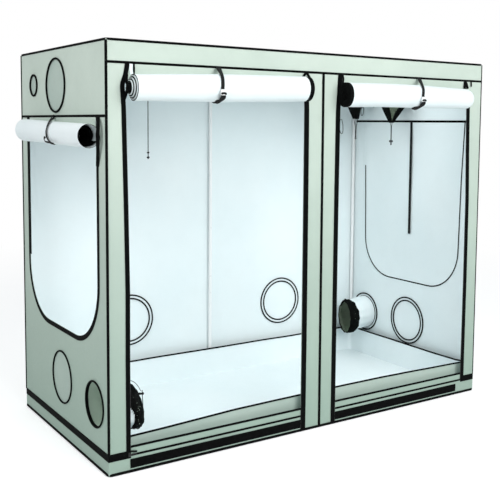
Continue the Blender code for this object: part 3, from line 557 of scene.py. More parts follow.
def edge_distances(points, segments):
    """How far each point lies from the nearest of some lines."""
    points, segments = np.array(points), np.array(segments)
    start, way = segments[:, 0], segments[:, 1] - segments[:, 0]
    length = np.maximum((way**2).sum(1), 1e-12)
    nearest = np.full(len(points), 1e9)
    for first in range(0, len(segments), 64):
        s, w, l = start[first:first + 64], way[first:first + 64], length[first:first + 64]
        offset = points[:, None] - s[None]
        share = np.clip((offset * w[None]).sum(2) / l[None], 0, 1)
        gaps = np.linalg.norm(offset - share[..., None] * w[None], axis=2)
        nearest = np.minimum(nearest, gaps.min(1))
    return nearest


def cloth_panel(
    name, place, outline, holes=(), held=(), slack=0.002, bulge=0.0, step=0.03, seed=0, outer=None,
    inner=None, body="tent", thickness=CLOTH, reach=0.12, inward=False
):
    """A sewn panel in a wall's frame, flat along its seams and slack between them."""
    loops = [stepped(corners, step) for corners in (outline, *holes)]
    points, edges = [], []
    for corners in loops:
        first = len(points)
        points += corners
        edges += [(first + i, first + (i + 1) % len(corners)) for i in range(len(corners))]
    segments = [(points[a], points[b]) for a, b in edges]
    xs, zs = [p[0] for p in outline], [p[1] for p in outline]
    middle = []
    for row in range(1, int((max(zs) - min(zs)) / step) + 1):
        z = min(zs) + row * step
        shift = (row % 2) * step / 2
        for column in range(1, int((max(xs) - min(xs)) / step) + 1):
            spot = (min(xs) + column * step + shift - step / 4, z)
            if inside(spot, loops[0]) and not any(inside(spot, hole) for hole in loops[1:]):
                middle.append(spot)
    if middle:
        clear = edge_distances(middle, segments)
        points += [spot for spot, gap in zip(middle, clear) if gap > step * 0.5]
    corners, _, triangles, _, _, _ = delaunay_2d_cdt([Vector(p) for p in points], edges, [], 1, 1e-7)
    kept = []
    for triangle in triangles:
        centre = sum((corners[i] for i in triangle), Vector((0, 0))) / 3
        if inside(centre, loops[0]) and not any(inside(centre, hole) for hole in loops[1:]):
            kept.append(tuple(triangle))
    lines = segments + [((a, b), (c, d)) for a, b, c, d in held]
    gaps = edge_distances([tuple(c) for c in corners], lines)
    outer_layer, inner_layer = [], []
    for corner, gap in zip(corners, gaps):
        free = min(gap / reach, 1.0)
        free = free * free * (3 - 2 * free)
        spot = Vector((corner.x * 2.3, corner.y * 2.3, seed * 7.3))
        fall = slack * free * noise.noise(spot) + slack * 0.45 * free * noise.noise(spot * 3.1)
        pucker = math.exp(-gap / 0.03) * min(gap / 0.008, 1) * 0.0006 * noise.noise(spot * 22)
        depth = fall + pucker - bulge * free
        if inward:
            depth = max(depth, 0.0)
        outer_layer.append(Vector((corner.x, depth, corner.y)))
        inner_layer.append(Vector((corner.x, depth + thickness, corner.y)))
    count = len(outer_layer)
    borders = {}
    faces, slots = [], []
    for a, b, c in kept:
        faces.append((a, b, c))
        slots.append(0)
        for pair in ((a, b), (b, c), (c, a)):
            borders[pair] = True
    for a, b, c in kept:
        faces.append((count + c, count + b, count + a))
        slots.append(1)
    for a, b in list(borders):
        if (b, a) not in borders:
            faces.append((b, a, count + a, count + b))
            slots.append(0)
    vertices = [place @ v for v in outer_layer + inner_layer]
    flat = [(corners[i % count].x, corners[i % count].y) for i in range(2 * count)]
    uvs = [flat[i] for face in faces for i in face]
    piece = place_mesh(name, vertices, faces, uvs, [outer or OUTSIDE, inner or INSIDE], body, slots)
    return piece


# The ports of each wall: x in the wall's frame, height and radius.
BIG, SMALL, DUCT = 0.134, 0.055, 0.109
LEFT_PORTS = [(0.437, 0.3, DUCT), (0, 0.32, BIG), (-0.044, 1.816, BIG), (-0.384, 1.826, SMALL)]
RIGHT_PORTS = [(0.437, 0.3, DUCT), (0, 0.32, BIG), (0.044, 1.86, 0.092), (0.384, 1.826, SMALL)]
BACK_PORTS = [(-0.56, 0.42, BIG), (0.56, 0.42, BIG)]
EDGE_TURN = 0.0018
half, low, high = WIDTH / 2, EDGE_TURN, HEIGHT - EDGE_TURN
side_outline = rectangle(-0.6, 0.6, low, high)
long_outline = rectangle(EDGE_TURN - half, half - EDGE_TURN, low, high)
side_seams = [(-0.6, SEAM_HEIGHT, 0.6, SEAM_HEIGHT), (-0.6, 0.085, 0.6, 0.085)]

for side, place, ports, seed in (("left", LEFT, LEFT_PORTS, 1), ("right", RIGHT, RIGHT_PORTS, 2)):
    holes = [u_shape(0, SEAM_HEIGHT), *(circle(*p) for p in ports)]
    wall = cloth_panel(
        f"{side}_wall_cloth", place, side_outline, holes, side_seams, slack=0.004, seed=seed, inward=True
    )
    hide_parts(f"{side}_wall")

BELT_HEIGHT = 0.086
holes = [circle(*p) for p in BACK_PORTS]
back_seams = [(0, 0, 0, 2), (-1.2, BELT_HEIGHT, 1.2, BELT_HEIGHT)]
wall = cloth_panel(
    "back_wall_cloth", BACK, long_outline, holes, back_seams, slack=0.005, bulge=0.002, step=0.035, seed=3
)
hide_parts("back_wall")
left_side = [
    (-1.089, HEADER_SEAM), (-1.0968, 1.85), (-1.1143, 1.80), (-1.1078, 1.70), (-1.0988, 1.25),
    (-1.0928, 0.85), (-1.0943, 0.5), (-1.0933, SILL)
]
right_side = [
    (1.0885, SILL), (1.0915, 0.7), (1.0905, 1.2), (1.0815, 1.5), (1.0765, 1.72), (1.0755, HEADER_SEAM)
]
doorways = [
    [*left_side, (-INNER_EDGE, SILL), (-INNER_EDGE, HEADER_SEAM)],
    [(INNER_EDGE, HEADER_SEAM), (INNER_EDGE, SILL), *right_side]
]
front_seams = [(-half, HEADER_SEAM, half, HEADER_SEAM), (0.007, 0.0, 0.007, HEADER_SEAM)]
wall = cloth_panel(
    "front_wall_cloth", FRONT, long_outline, doorways, front_seams, slack=0.003, step=0.022, seed=4,
    reach=0.08, inward=True
)
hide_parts("front_wall")
roof_ring = rectangle(-half, half, -DEPTH / 2, DEPTH / 2)
wall = cloth_panel(
    "roof_cloth", TOP, roof_ring, held=[(0, -0.6, 0, 0.6)], slack=0.002, bulge=-0.002, step=0.04, seed=5
)
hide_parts("roof_panel")


def woven_black(name, roughness=0.8, first=(0.0015, 0.002, 0.002), second=(0.005, 0.006, 0.0055)):
    """Finer cloth, black unless two other colours are given."""
    finish = Finish(name, roughness, Specular_IOR_Level=0.06)
    weave = finish.sum("MULTIPLY", finish.threads(FINE_YARN, "X"), finish.threads(FINE_YARN, "Y"))
    patch = finish.spread(finish.cloud(30, 5), 0, 1, 0.3, 0.75)
    colour = finish.colours(patch, first, second)
    finish.paint(finish.shade(colour, finish.spread(weave, 0.4, 0, 0, 0.4), 0.6))
    finish.relief(finish.cloud(90, 4), 0.0008, 0.35)
    finish.relief(weave, 0.0002, 0.7)
    return finish.material


BLACK_WOVEN = woven_black("black_woven_cloth")
floor_cloth = cloth_panel(
    "floor_cloth", BOTTOM, roof_ring, slack=0.0, step=0.1, seed=6, outer=BLACK_WOVEN, inner=BLACK_WOVEN
)
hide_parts("floor_sheet")

door_outline = u_shape(0.0003, SEAM_HEIGHT - EDGE_TURN)
door = cloth_panel(
    "right_side_door_cloth", RIGHT, door_outline, slack=0.004, bulge=0.007, seed=7, body="right_side_door"
)
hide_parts("right_side_door")


# Duct ports. Each is a round hole bound with black braid, with a doubled white flange sewn on inside. A
# closed one has a disc of cover cloth in it, held by the cord in its binding. The disc is painted darker
# than the cover as painted shade in the port, and darker again towards its foot.
def port_binding(name, place, x, z, radius, thick, face=-1, depth=0.0):
    path = [place @ Vector((u, depth + face * thick * 0.35, w)) for u, w in circle(x, z, radius, 56)]
    out = place.to_3x3() @ Vector((0, face, 0))
    piece = sweep(name, path, round_section(thick / 2, 8), TRIM, face=out, loop=True)
    return piece


def trim_tape():
    """Black binding tape with a row of stitches along each edge."""
    finish = Finish("black_binding_tape", 0.85, Specular_IOR_Level=0.05)
    place = finish.node("SeparateXYZ", i0=finish.run)
    run = finish.node("SeparateXYZ", out=1, i0=finish.run)
    row = finish.sum("COMPARE", place, 0.0022, 0.00045)
    stitch = finish.sum("LESS_THAN", finish.sum("FRACT", finish.sum("DIVIDE", run, 0.0042)), 0.72)
    thread = finish.sum("MULTIPLY", row, stitch)
    ribs = finish.threads(0.0016, "Y")
    patch = finish.spread(finish.cloud(45, 4), 0, 1, 0.3, 0.75)
    colour = finish.colours(patch, (0.0012, 0.0014, 0.0014), (0.0035, 0.004, 0.004))
    pale = (0.014, 0.015, 0.015, 1)
    finish.paint(finish.node("Mix", out=2, settings={"data_type": "RGBA"}, i0=thread, i6=colour, i7=pale))
    finish.relief(ribs, 0.00025, 0.6)
    finish.relief(thread, 0.0003, 0.8)
    return finish.material


TRIM = trim_tape()


def port(side, number, place, x, z, radius, is_open, thick, has_sock=False):
    """A port's bindings and flange. The flange is half as wide where a sock is sewn round the port."""
    name = f"{side}_port_{number}"
    port_binding(f"{name}_outer_binding", place, x, z, radius, thick)
    ring = arc(0, 0, 1, 0, 360, 56)[:-1]
    edge, rim, thin = 0.0095, 0.0102, 0.0011
    section = [(-edge, -thin), (edge, -thin), (rim, 0), (edge, thin), (0, 0.0016), (-edge, thin), (-rim, 0)]
    wide = 0.5 if has_sock else 1.0
    section = [(a * wide, b) for a, b in section]
    away = radius + 0.01 * wide
    path = [place @ Vector((x + away * a, CLOTH + thin, z + away * b)) for a, b in ring]
    inward = place.to_3x3() @ Vector((0, 1, 0))
    flange = sweep(f"{name}_flange", path, section, INSIDE, face=inward, loop=True)
    line = 0.0068 if has_sock else 0.0092
    for where, reach in (("inner", radius - 0.0005), ("outer", radius + 0.0205 * wide)):
        port_binding(f"{name}_{where}_line", place, x, z, reach, line, face=1, depth=CLOTH)
    if not is_open:
        sunk = place @ Matrix.Translation((0, 0.0004, 0))
        outline = circle(x, z, radius, 56)
        disc = cloth_panel(
            f"{name}_disc", sunk, outline, slack=0.004, bulge=-0.0015, step=0.014, seed=number + 11,
            reach=0.05, outer=SHADED_PORT_DISC
        )


# Painted shade: the disc cloth is the cover cloth in a darker green, and darker again towards its foot.
SHADED_PORT_DISC = woven("shaded_port_disc_cloth", (0.39, 0.485, 0.435), (0.44, 0.535, 0.475), 0.6, foot=0.3)
for number, (x, z, radius) in enumerate(LEFT_PORTS):
    port("left", number, LEFT, x, z, radius, number == 0, 0.0105 if number > 1 else 0.009)
for number, (x, z, radius) in enumerate(RIGHT_PORTS):
    port("right", number, RIGHT, x, z, radius, number != 1, 0.008, has_sock=number > 1)
for number, (x, z, radius) in enumerate(BACK_PORTS):
    port("back", number, BACK, x, z, radius, False, 0.008)


# Seams and edges. The box edges are piped with thick black cord in a folded tape, the seams between the
# panels are covered with black tape, and a black belt runs round the foot with a bare strip under it.
def rounded(points, radius, loop=False, steps=5):
    """A path of straight lines with rounded corners."""
    points = [Vector(p) for p in points]
    path = []
    for i, corner in enumerate(points):
        if not loop and i in (0, len(points) - 1):
            path.append(corner)
            continue
        before, after = points[i - 1], points[(i + 1) % len(points)]
        start = corner + (before - corner).normalized() * radius
        end = corner + (after - corner).normalized() * radius
        for step in range(steps + 1):
            t = step / steps
            path.append(start * (1 - t) ** 2 + corner * 2 * t * (1 - t) + end * t * t)
    return path


def piping(name, points, thick, face, loop=False):
    path = rounded(points, 0.02, loop)
    piece = sweep(name, path, round_section(thick / 2, 10), TRIM, face=face, loop=loop)
    return piece


PIPING_INSET = 0.0012
x, y = half - PIPING_INSET, DEPTH / 2 - PIPING_INSET
for name, level, thick in (("top", HEIGHT - 0.001, 0.0122), ("foot", 0.0045, 0.0145)):
    ring = [(-x, -y, level), (x, -y, level), (x, y, level), (-x, y, level)]
    piping(f"{name}_edge_piping", ring, thick, loop=True, face=(0, 0, 1))
for corner, u, w, thick in (
    ("front_left", -x, -y, 0.0130),
    ("front_right", x, -y, 0.008),
    ("back_left", -x, y, 0.0115),
    ("back_right", x, y, 0.0085)
):
    piping(f"{corner}_edge_piping", [(u, w, 0.1), (u, w, 1.0), (u, w, HEIGHT - 0.004)], thick, face=(u, w, 0))


def tape(name, place, points, width, thickness, body="tent", crown=0.0, lift=0.0, radius=0.012, inner=False):
    """A flat tape sewn on a wall: its points are x and z in the wall's frame."""
    sign = 1 if inner else -1
    depth = CLOTH + thickness / 2 + lift if inner else -thickness / 2 - lift
    path = [Vector((u, depth, w)) for u, w in points]
    if len(path) > 2:
        path = rounded(path, radius)
    path = [place @ p for p in path]
    out = place.to_3x3() @ Vector((0, sign, 0))
    piece = sweep(name, path, tape_section(width, thickness, crown), TRIM, body, face=out)
    return piece


tape("header_seam_tape", FRONT, [(-half, HEADER_SEAM), (half, HEADER_SEAM)], 0.0120, 0.0016, lift=0.0002)
for side, place in (("left", LEFT), ("right", RIGHT)):
    seam = SEAM_HEIGHT + (0.0068 if side == "right" else 0)
    tape(f"{side}_seam_tape", place, [(-0.6, seam), (0.6, seam)], 0.0125, 0.0016, lift=0.0002)
    inner_seam = [(-0.57, SEAM_HEIGHT), (0.57, SEAM_HEIGHT)]
    tape(f"{side}_inner_seam_tape", place, inner_seam, 0.014, 0.0014, inner=True)
tape("back_seam_tape", BACK, [(0, 0.1), (0, 1.99)], 0.011, 0.0014)


def belt_face(p):
    """Straight out of the wall that a point of the belt lies on."""
    on_side = abs(p.x) > 1.197
    on_long = abs(p.y) > 0.597 and (not on_side or abs(p.y) > 0.599)
    out = Vector((p.x if on_side else 0, p.y if on_long else 0, 0))
    return out if out.length else Vector((0, -1, 0))


BELT_X, BELT_Y, BELT_END = 1.2008, 0.6008, 1.09
ring = [
    (-BELT_END, -BELT_Y), (-BELT_X, -BELT_Y), (-BELT_X, BELT_Y), (BELT_X, BELT_Y), (BELT_X, -BELT_Y),
    (BELT_END, -BELT_Y)
]
foot = rounded([(u, w, BELT_HEIGHT) for u, w in ring], 0.002)
belt = sweep("foot_belt", foot, tape_section(0.037, 0.0016), TRIM, face=[belt_face(p) for p in foot])
for name, left, right in (("left", -1.0935, -INNER_EDGE + 0.01), ("right", INNER_EDGE - 0.01, 1.0885)):
    tape(f"{name}_sill_edge_tape", FRONT, [(left, SILL), (right, SILL)], 0.0120, 0.0016, lift=0.0003)
    tape(f"{name}_sill_seam_tape", FRONT, [(left, 0.082), (right, 0.082)], 0.0110, 0.0014, lift=0.0002)
    end = right if name == "left" else right - 0.04
    flap = [(left, 0.0405), (end, 0.0405)]
    tape(f"{name}_sill_zip_flap", FRONT, flap, 0.045, 0.0022, crown=0.001, lift=0.0002)
tape("middle_strip_tape", FRONT, [(0.009, 0.002), (0.0065, HEADER_SEAM)], 0.0165, 0.0016, lift=0.0002)


# Door zips. Each front doorway has a coil zip down both sides, on black tape that is sewn to the cover,
# and the left side doorway has one all round its foot. The doors are open, so only this half shows.
def coil_finish():
    finish = Finish("zip_coil", 0.5, Specular_IOR_Level=0.3)
    teeth = finish.threads(0.0024, "Y")
    finish.paint(finish.colours(teeth, (0.004, 0.004, 0.005), (0.022, 0.023, 0.024)))
    finish.relief(teeth, 0.0008)
    return finish.material


COIL = coil_finish()
ZIP_TAPE = 0.0018


def zip_band(name, points, width, side):
    """Zip tape with the coil along one edge: side is -1 or 1, the way from the tape's middle to the coil."""
    tape(name, FRONT, points, width, ZIP_TAPE, crown=0.0006, lift=0.0004)
    shift = side * (width / 2 - 0.0012)
    line = [Vector((u, -ZIP_TAPE, w)) for u, w in points]
    path = [FRONT @ (p + Vector((shift, 0, 0))) for p in line]
    out = FRONT.to_3x3() @ Vector((0, -1, 0))
    coil = sweep(f"{name}_coil", path, round_section(0.0017, 6), COIL, face=out)
    return coil


zip_band(
    "left_front_left_zip",
    [
        (-1.1025, 0.08), (-1.1035, 0.5), (-1.102, 0.85), (-1.108, 1.25), (-1.117, 1.70), (-1.1235, 1.80),
        (-1.106, 1.85), (-1.098, 1.899)
    ],
    0.0225, 1
)
zip_band(
    "left_front_right_zip",
    [(-0.0995, 0.003), (-0.0975, 0.45), (-0.098, 1.25), (-0.0995, 1.70), (-0.103, 1.80), (-0.098, 1.862)],
    0.032, -1
)
zip_band(
    "right_front_left_zip",
    [(0.1015, 0.003), (0.1025, 0.5), (0.1035, 1.2), (0.106, 1.70), (0.113, 1.82), (0.117, 1.899)], 0.029, 1
)
zip_band(
    "right_front_right_zip",
    [(1.1015, 0.08), (1.1045, 0.7), (1.1035, 1.2), (1.0945, 1.5), (1.0895, 1.72), (1.0885, 1.80)], 0.030, -1
)
ZIP_TOP = SEAM_HEIGHT - 0.006
u_path = u_shape(-0.0125, ZIP_TOP)
tape("left_side_zip", LEFT, u_path, 0.025, ZIP_TAPE, crown=0.0006, lift=0.0004, radius=0.004)
tape("left_side_zip_flap", LEFT, [(-0.474, 0.90), (-0.474, ZIP_TOP)], 0.026, 0.0014, lift=0.0024)
bends = [*arc(-0.189, 0.847, 0.26, 180, 270, 16), *arc(0.189, 0.847, 0.26, 270, 360, 16)]
u_path = [(-0.478, ZIP_TOP), (-0.460, 1.30), *bends, (0.462, 1.35)]
tape(
    "right_side_inner_zip", RIGHT, u_path, 0.0085, 0.0016, body="right_side_door", crown=0.0006, radius=0.004,
    inner=True
)
u_path = u_shape(-0.010, ZIP_TOP)
tape("right_side_zip", RIGHT, u_path, 0.024, ZIP_TAPE, crown=0.0006, lift=0.0004, radius=0.004)


# Floor tray. A basin of coated cloth, white inside and grey-green outside, lies on the floor cloth and
# catches spilt water. Its walls stand up by themselves, and its rim is bound with black tape.
TRAY_X, TRAY_Y, TRAY_CORNER, TRAY_FOOT, TRAY_TALL = 1.16, 0.56, 0.03, 0.0019, 0.17
RIM_PLACES, RIM_HEIGHTS = (-1.16, -0.9, -0.5, 0.1, 0.5, 1.16), (0.156, 0.163, 0.180, 0.187, 0.187, 0.176)


def tray_rim(x, y):
    """The rim's height above the floor round the tray: the front stands highest in its middle."""
    if y < -0.5:
        return float(np.interp(x, RIM_PLACES, RIM_HEIGHTS))
    return 0.172 + 0.003 * noise.noise(Vector((x * 4, y * 4, 0)))


def tray_side(x, y):
    """Straight out of the tray wall that a point of its outline lies on."""
    along = math.copysign(1, x) if abs(x) > TRAY_X - TRAY_CORNER else 0
    across = math.copysign(1, y) if abs(y) > TRAY_Y - TRAY_CORNER else 0
    return Vector((along, across)).normalized()


# Painted light: the tray's outer cloth is a copy of the cover cloth without its foot shade, set lighter than
# the cover's foot to brighten the wall the sill shades.
TRAY_OUTSIDE_PAINTED_LIGHT = woven("tray_outer_cloth_painted_light", (0.41, 0.51, 0.455), (0.46, 0.56, 0.50), 0.6)


def floor_tray():
    corners = [(-TRAY_X, -TRAY_Y, 0), (TRAY_X, -TRAY_Y, 0), (TRAY_X, TRAY_Y, 0), (-TRAY_X, TRAY_Y, 0)]
    ring = [(p.x, p.y) for p in rounded(corners, TRAY_CORNER, loop=True, steps=6)]
    ring = stepped(ring, 0.04)
    rows = (0.0, 0.1, 0.28, 0.5, 0.75, 1.0)
    vertices, faces, uvs, slots = [], [], [], []
    run = [0.0]
    for a, b in zip(ring, ring[1:] + ring[:1]):
        run.append(run[-1] + math.dist(a, b))
    for inner in (0, 1):
        for share in rows:
            for x, y in ring:
                top = tray_rim(x, y)
                wave = 0.0035 * share * noise.noise(Vector((x * 5, y * 5, share)))
                drawn = 0.002 * inner + 0.004 * (1 - share) ** 3 - wave * 0.5
                spot = Vector((x, y)) - tray_side(x, y) * drawn
                level = TRAY_FOOT + 0.0012 * inner * (1 - share) + share * (top - TRAY_FOOT)
                vertices.append(Vector((spot.x, spot.y, level)))
    count, tall = len(ring), len(rows)
    for inner in (0, 1):
        for row in range(tall - 1):
            for i in range(count):
                j = (i + 1) % count
                a, b = inner * tall * count + row * count, inner * tall * count + (row + 1) * count
                quad = (a + i, a + j, b + j, b + i)
                faces.append(quad if not inner else quad[::-1])
                rise, next_rise = rows[row] * TRAY_TALL, rows[row + 1] * TRAY_TALL
                square = [(run[i], rise), (run[i + 1], rise), (run[i + 1], next_rise), (run[i], next_rise)]
                uvs += square if not inner else square[::-1]
                slots.append(inner)
    for i in range(count):
        j = (i + 1) % count
        a, b = (tall - 1) * count, (2 * tall - 1) * count
        faces.append((a + i, a + j, b + j, b + i))
        uvs += [(run[i], 0), (run[i + 1], 0), (run[i + 1], 0.002), (run[i], 0.002)]
        slots.append(0)
        a, b = 0, tall * count
        faces.append((b + i, b + j, a + j, a + i))
        uvs += [(run[i], 0), (run[i + 1], 0), (run[i + 1], 0.002), (run[i], 0.002)]
        slots.append(0)
    walls = place_mesh("tray_walls", vertices, faces, uvs, [TRAY_OUTSIDE_PAINTED_LIGHT, INSIDE], "tent", slots)
    rim_path = []
    for x, y in ring:
        out = tray_side(x, y)
        wave = 0.0035 * noise.noise(Vector((x * 5, y * 5, 1)))
        top = Vector((x, y, tray_rim(x, y) - 0.002))
        rim_path.append(top - Vector((out.x, out.y, 0)) * (0.001 - wave * 0.5))
    rim = sweep("tray_rim_binding", rim_path, round_section(0.0052, 8), TRIM, face=(0, 0, 1), loop=True)
    place = Matrix.Translation((0, 0, 0.0018)) @ BOTTOM
    outline = [(x * 0.9965, -y * 0.993) for x, y in ring][::-1]
    ground = cloth_panel(
        "tray_floor_cloth", place, outline, slack=0.0, step=0.06, seed=9, outer=INSIDE, thickness=0.002
    )
    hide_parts("floor_tray")


floor_tray()


# Rolled doors. Each door is one sheet of the same cloth, wound up from its foot with the white side out,
# and it hangs from its seam behind the roll. Its ends show the edges of the layers, bound in zip tape.
ROLL_GAP, ROLL_DEPTH = 0.0005, -0.06
PER_TURN = 36


def roll_path(centre, first, pitch, turns):
    """A winding's points and outward directions, as depth in the wall's frame and rise from its centre."""
    points, outs = [], []
    for step in range(turns * PER_TURN + 1):
        angle = math.tau * step / PER_TURN
        reach = first - pitch * step / PER_TURN
        points.append((centre + reach * math.cos(angle), -reach * math.sin(angle)))
        outs.append((math.cos(angle), -math.sin(angle)))
    return points, outs


def layer_slip(style, layer, seed):
    """How far a layer's edge lies inside the end of its roll, or beyond it where this is below 0."""
    slip = 0.0016 * noise.noise(Vector((layer * 3.2, seed, 0)))
    if style == "hollow":
        deep = min(max((layer - 1.0) / 0.3, 0), 1)
        return slip + 0.06 * deep * deep * (3 - 2 * deep)
    return 0.3 * slip - 0.0036 * layer if style == "spiral" else slip


def layer_swell(style, layer, end):
    """How far a layer's cloth bulges outwards and inwards at its edge, where it isn't pressed flat."""
    near = math.exp(-end / 0.006)
    if style == "spiral":
        return (0.0, 0.0004 * near) if int(layer) % 2 else (0.0006 * near, 0.0024 * near)
    if style == "black":
        return 0.0006 * near, 0.0028 * near
    return 0.0, 0.0004 * near


def between(table, share):
    """Reads a value off a table of (share, value) rows."""
    return float(np.interp(share, [row[0] for row in table], [row[1] for row in table]))


# How far in from a roll's end the zip tape shows, for each kind of end.
BINDING = {"bound": 0.027, "black": 0.0205, "hollow": 0.0035, "spiral": 0.0, "round": 0.0}


def rolled_door(
    name, node, place, left, right, height, radius, pitch, turns, seed, ends, rise_table, full_table
):
    """One sheet wound up. The tables say how far the roll stands off its height, and how full it is."""
    centre = -(ROLL_GAP + radius)
    points, outs = roll_path(centre, radius - CLOTH / 2, pitch, turns)
    span = right - left
    edge = [0, 0.001, 0.003, 0.006, 0.01, 0.015, 0.02, 0.026, 0.04]
    inner = int((span - 0.08) / 0.035)
    columns = edge + [0.04 + (span - 0.08) * i / inner for i in range(1, inner)]
    columns += [span - e for e in reversed(edge)]
    run = [0.0]
    for a, b in zip(points, points[1:]):
        run.append(run[-1] + math.dist(a, b))
    vertices, uvs, faces, slots = [], [], [], []
    for side in (1, -1):
        for i, ((depth, rise), (od, oz)) in enumerate(zip(points, outs)):
            layer = i / PER_TURN
            low = left + layer_slip(ends[0], layer, seed)
            high = right - layer_slip(ends[1], layer, seed + 5)
            for column in columns:
                style, end = (ends[0], column) if column < span / 2 else (ends[1], span - column)
                spot = Vector((column * 3.2 + layer * 0.15, i * 0.17, seed))
                wrinkle = min(0.0, 0.0012 * noise.noise(spot) * min(end / 0.05, 1))
                swell = layer_swell(style, layer, end)
                reach = CLOTH / 2 + wrinkle + swell[0] if side > 0 else wrinkle - CLOTH / 2 - swell[1]
                drawn = 1 - 0.2 * max(0, 1 - end / 0.034) ** 2 if style == "round" else 1.0
                out = centre + (depth + od * reach - centre) * drawn
                if layer < 1:
                    out = min(out, -0.0036 if side > 0 else -0.0051)
                share = column / span
                up = (rise + oz * reach) * drawn * between(full_table, share) + between(rise_table, share)
                along = low + (high - low) * column / span
                vertices.append(place @ Vector((along, out, height + up)))
    wide, count = len(columns), len(points) * len(columns)
    for side in (0, 1):
        for i in range(len(points) - 1):
            for j in range(wide - 1):
                a = side * count + i * wide + j
                quad = (a, a + 1, a + wide + 1, a + wide)
                u, w = columns[j], columns[j + 1]
                square = [(u, run[i]), (w, run[i]), (w, run[i + 1]), (u, run[i + 1])]
                style, end = (ends[0], w) if u < span / 2 else (ends[1], span - u)
                bound = BINDING[style]
                # Painted shade: in a hollow end, the deeper layers are black for 0.16 m, the shade inside the
                # hollow.
                if style == "hollow" and i > PER_TURN + 2:
                    bound = 0.16
                if style == "spiral" and i // PER_TURN % 2 == 0:
                    bound = 0.0011 if i < PER_TURN else 0.0031
                faces.append(quad if not side else quad[::-1])
                uvs += square if not side else square[::-1]
                slots.append(2 if end < bound else (side if style != "hollow" or end > 0.2 else 0))
    for i in range(len(points) - 1):
        for j, order, style in ((0, 1, ends[0]), (wide - 1, -1, ends[1])):
            a, b = i * wide + j, (i + 1) * wide + j
            quad = (a, b, count + b, count + a)[::order]
            faces.append(quad)
            uvs += [(0, run[i]), (0, run[i + 1]), (0.0015, run[i + 1]), (0.0015, run[i])]
            slots.append(0 if style == "round" or (style == "spiral" and i // PER_TURN % 2) else 2)
    for i, order in ((0, -1), (len(points) - 1, 1)):
        for j in range(wide - 1):
            a = i * wide + j
            faces.append((a, a + 1, count + a + 1, count + a)[::order])
            uvs += [(0, 0), (0.001, 0), (0.001, 0.001), (0, 0.001)]
            slots.append(0)
    roll = place_mesh(name, vertices, faces, uvs, [INSIDE, OUTSIDE, TRIM], node, slots)
    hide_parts(node)
    return roll


def wound_tape(name, x, width, height, radius, body):
    """The zip's spare tape, wound into the core of a roll's end."""
    path, faces = [], []
    steps, rounds = 24, 5
    for i in range(steps * rounds + 1):
        turn = math.tau * i / steps
        reach = 0.0021 + (radius - 0.0045) * i / (steps * rounds)
        way = Vector((0, math.cos(turn), math.sin(turn)))
        path.append(FRONT @ (Vector((x, ROLL_DEPTH, height)) + way * reach))
        faces.append(FRONT.to_3x3() @ way)
    piece = sweep(name, path, tape_section(width, 0.0036), TRIM, body, face=faces)
    return piece


def hanging_cloth(name, place, left, right, top, height, body, seed):
    """The cloth between a door's seam and its roll."""
    depth = -(ROLL_GAP + CLOTH)
    vertices, uvs, faces, slots = [], [], [], []
    columns = [left + (right - left) * i / 40 for i in range(41)]
    rows = [top + (height - top) * i / 10 for i in range(11)]
    for side in (0, 1):
        for z in rows:
            for x in columns:
                share = (top - z) / (top - height)
                wave = 0.0007 * noise.noise(Vector((x * 9, z * 5, seed))) * math.sin(math.pi * share)
                vertices.append(place @ Vector((x, depth + wave + CLOTH * side, z)))
    wide, count = len(columns), len(rows) * len(columns)
    for side in (0, 1):
        for i in range(len(rows) - 1):
            for j in range(wide - 1):
                a = side * count + i * wide + j
                quad = (a, a + wide, a + wide + 1, a + 1)
                u, w = columns[j], columns[j + 1]
                square = [(u, rows[i]), (u, rows[i + 1]), (w, rows[i + 1]), (w, rows[i])]
                faces.append(quad if not side else quad[::-1])
                uvs += square if not side else square[::-1]
                slots.append(side)
    first = [i * wide for i in range(len(rows))]
    last = [i * wide + wide - 1 for i in range(len(rows))]
    upper, lower = list(range(wide)), list(range(count - wide, count))
    for line, order in ((first, 1), (last, -1), (upper, -1), (lower, 1)):
        for a, b in zip(line, line[1:]):
            faces.append((a, b, count + b, count + a)[::-order])
            uvs += [(0, 0), (0.01, 0), (0.01, 0.0015), (0, 0.0015)]
            slots.append(0)
    piece = place_mesh(name, vertices, faces, uvs, [OUTSIDE, INSIDE], None, slots)
    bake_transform(piece)
    return piece


LEFT_RISE = ((0, -0.002), (0.5, 0.0105), (1, 0.0215))
LEFT_FULL = ((0, 1.03), (0.25, 1.11), (0.5, 1.16), (0.75, 1.15), (1, 1.10))
RIGHT_RISE = ((0, 0.0), (0.3, 0.0055), (0.6, 0.005), (1, 0.0))
RIGHT_FULL = ((0, 1.13), (0.3, 1.12), (0.6, 1.12), (0.85, 1.05), (1, 1.0))
SIDE_RISE = ((0, 0.011), (1, -0.0074))
SIDE_FULL = ((0, 1.13), (1, 1.045))
FRONT_ROLL_HEIGHT = 1.79
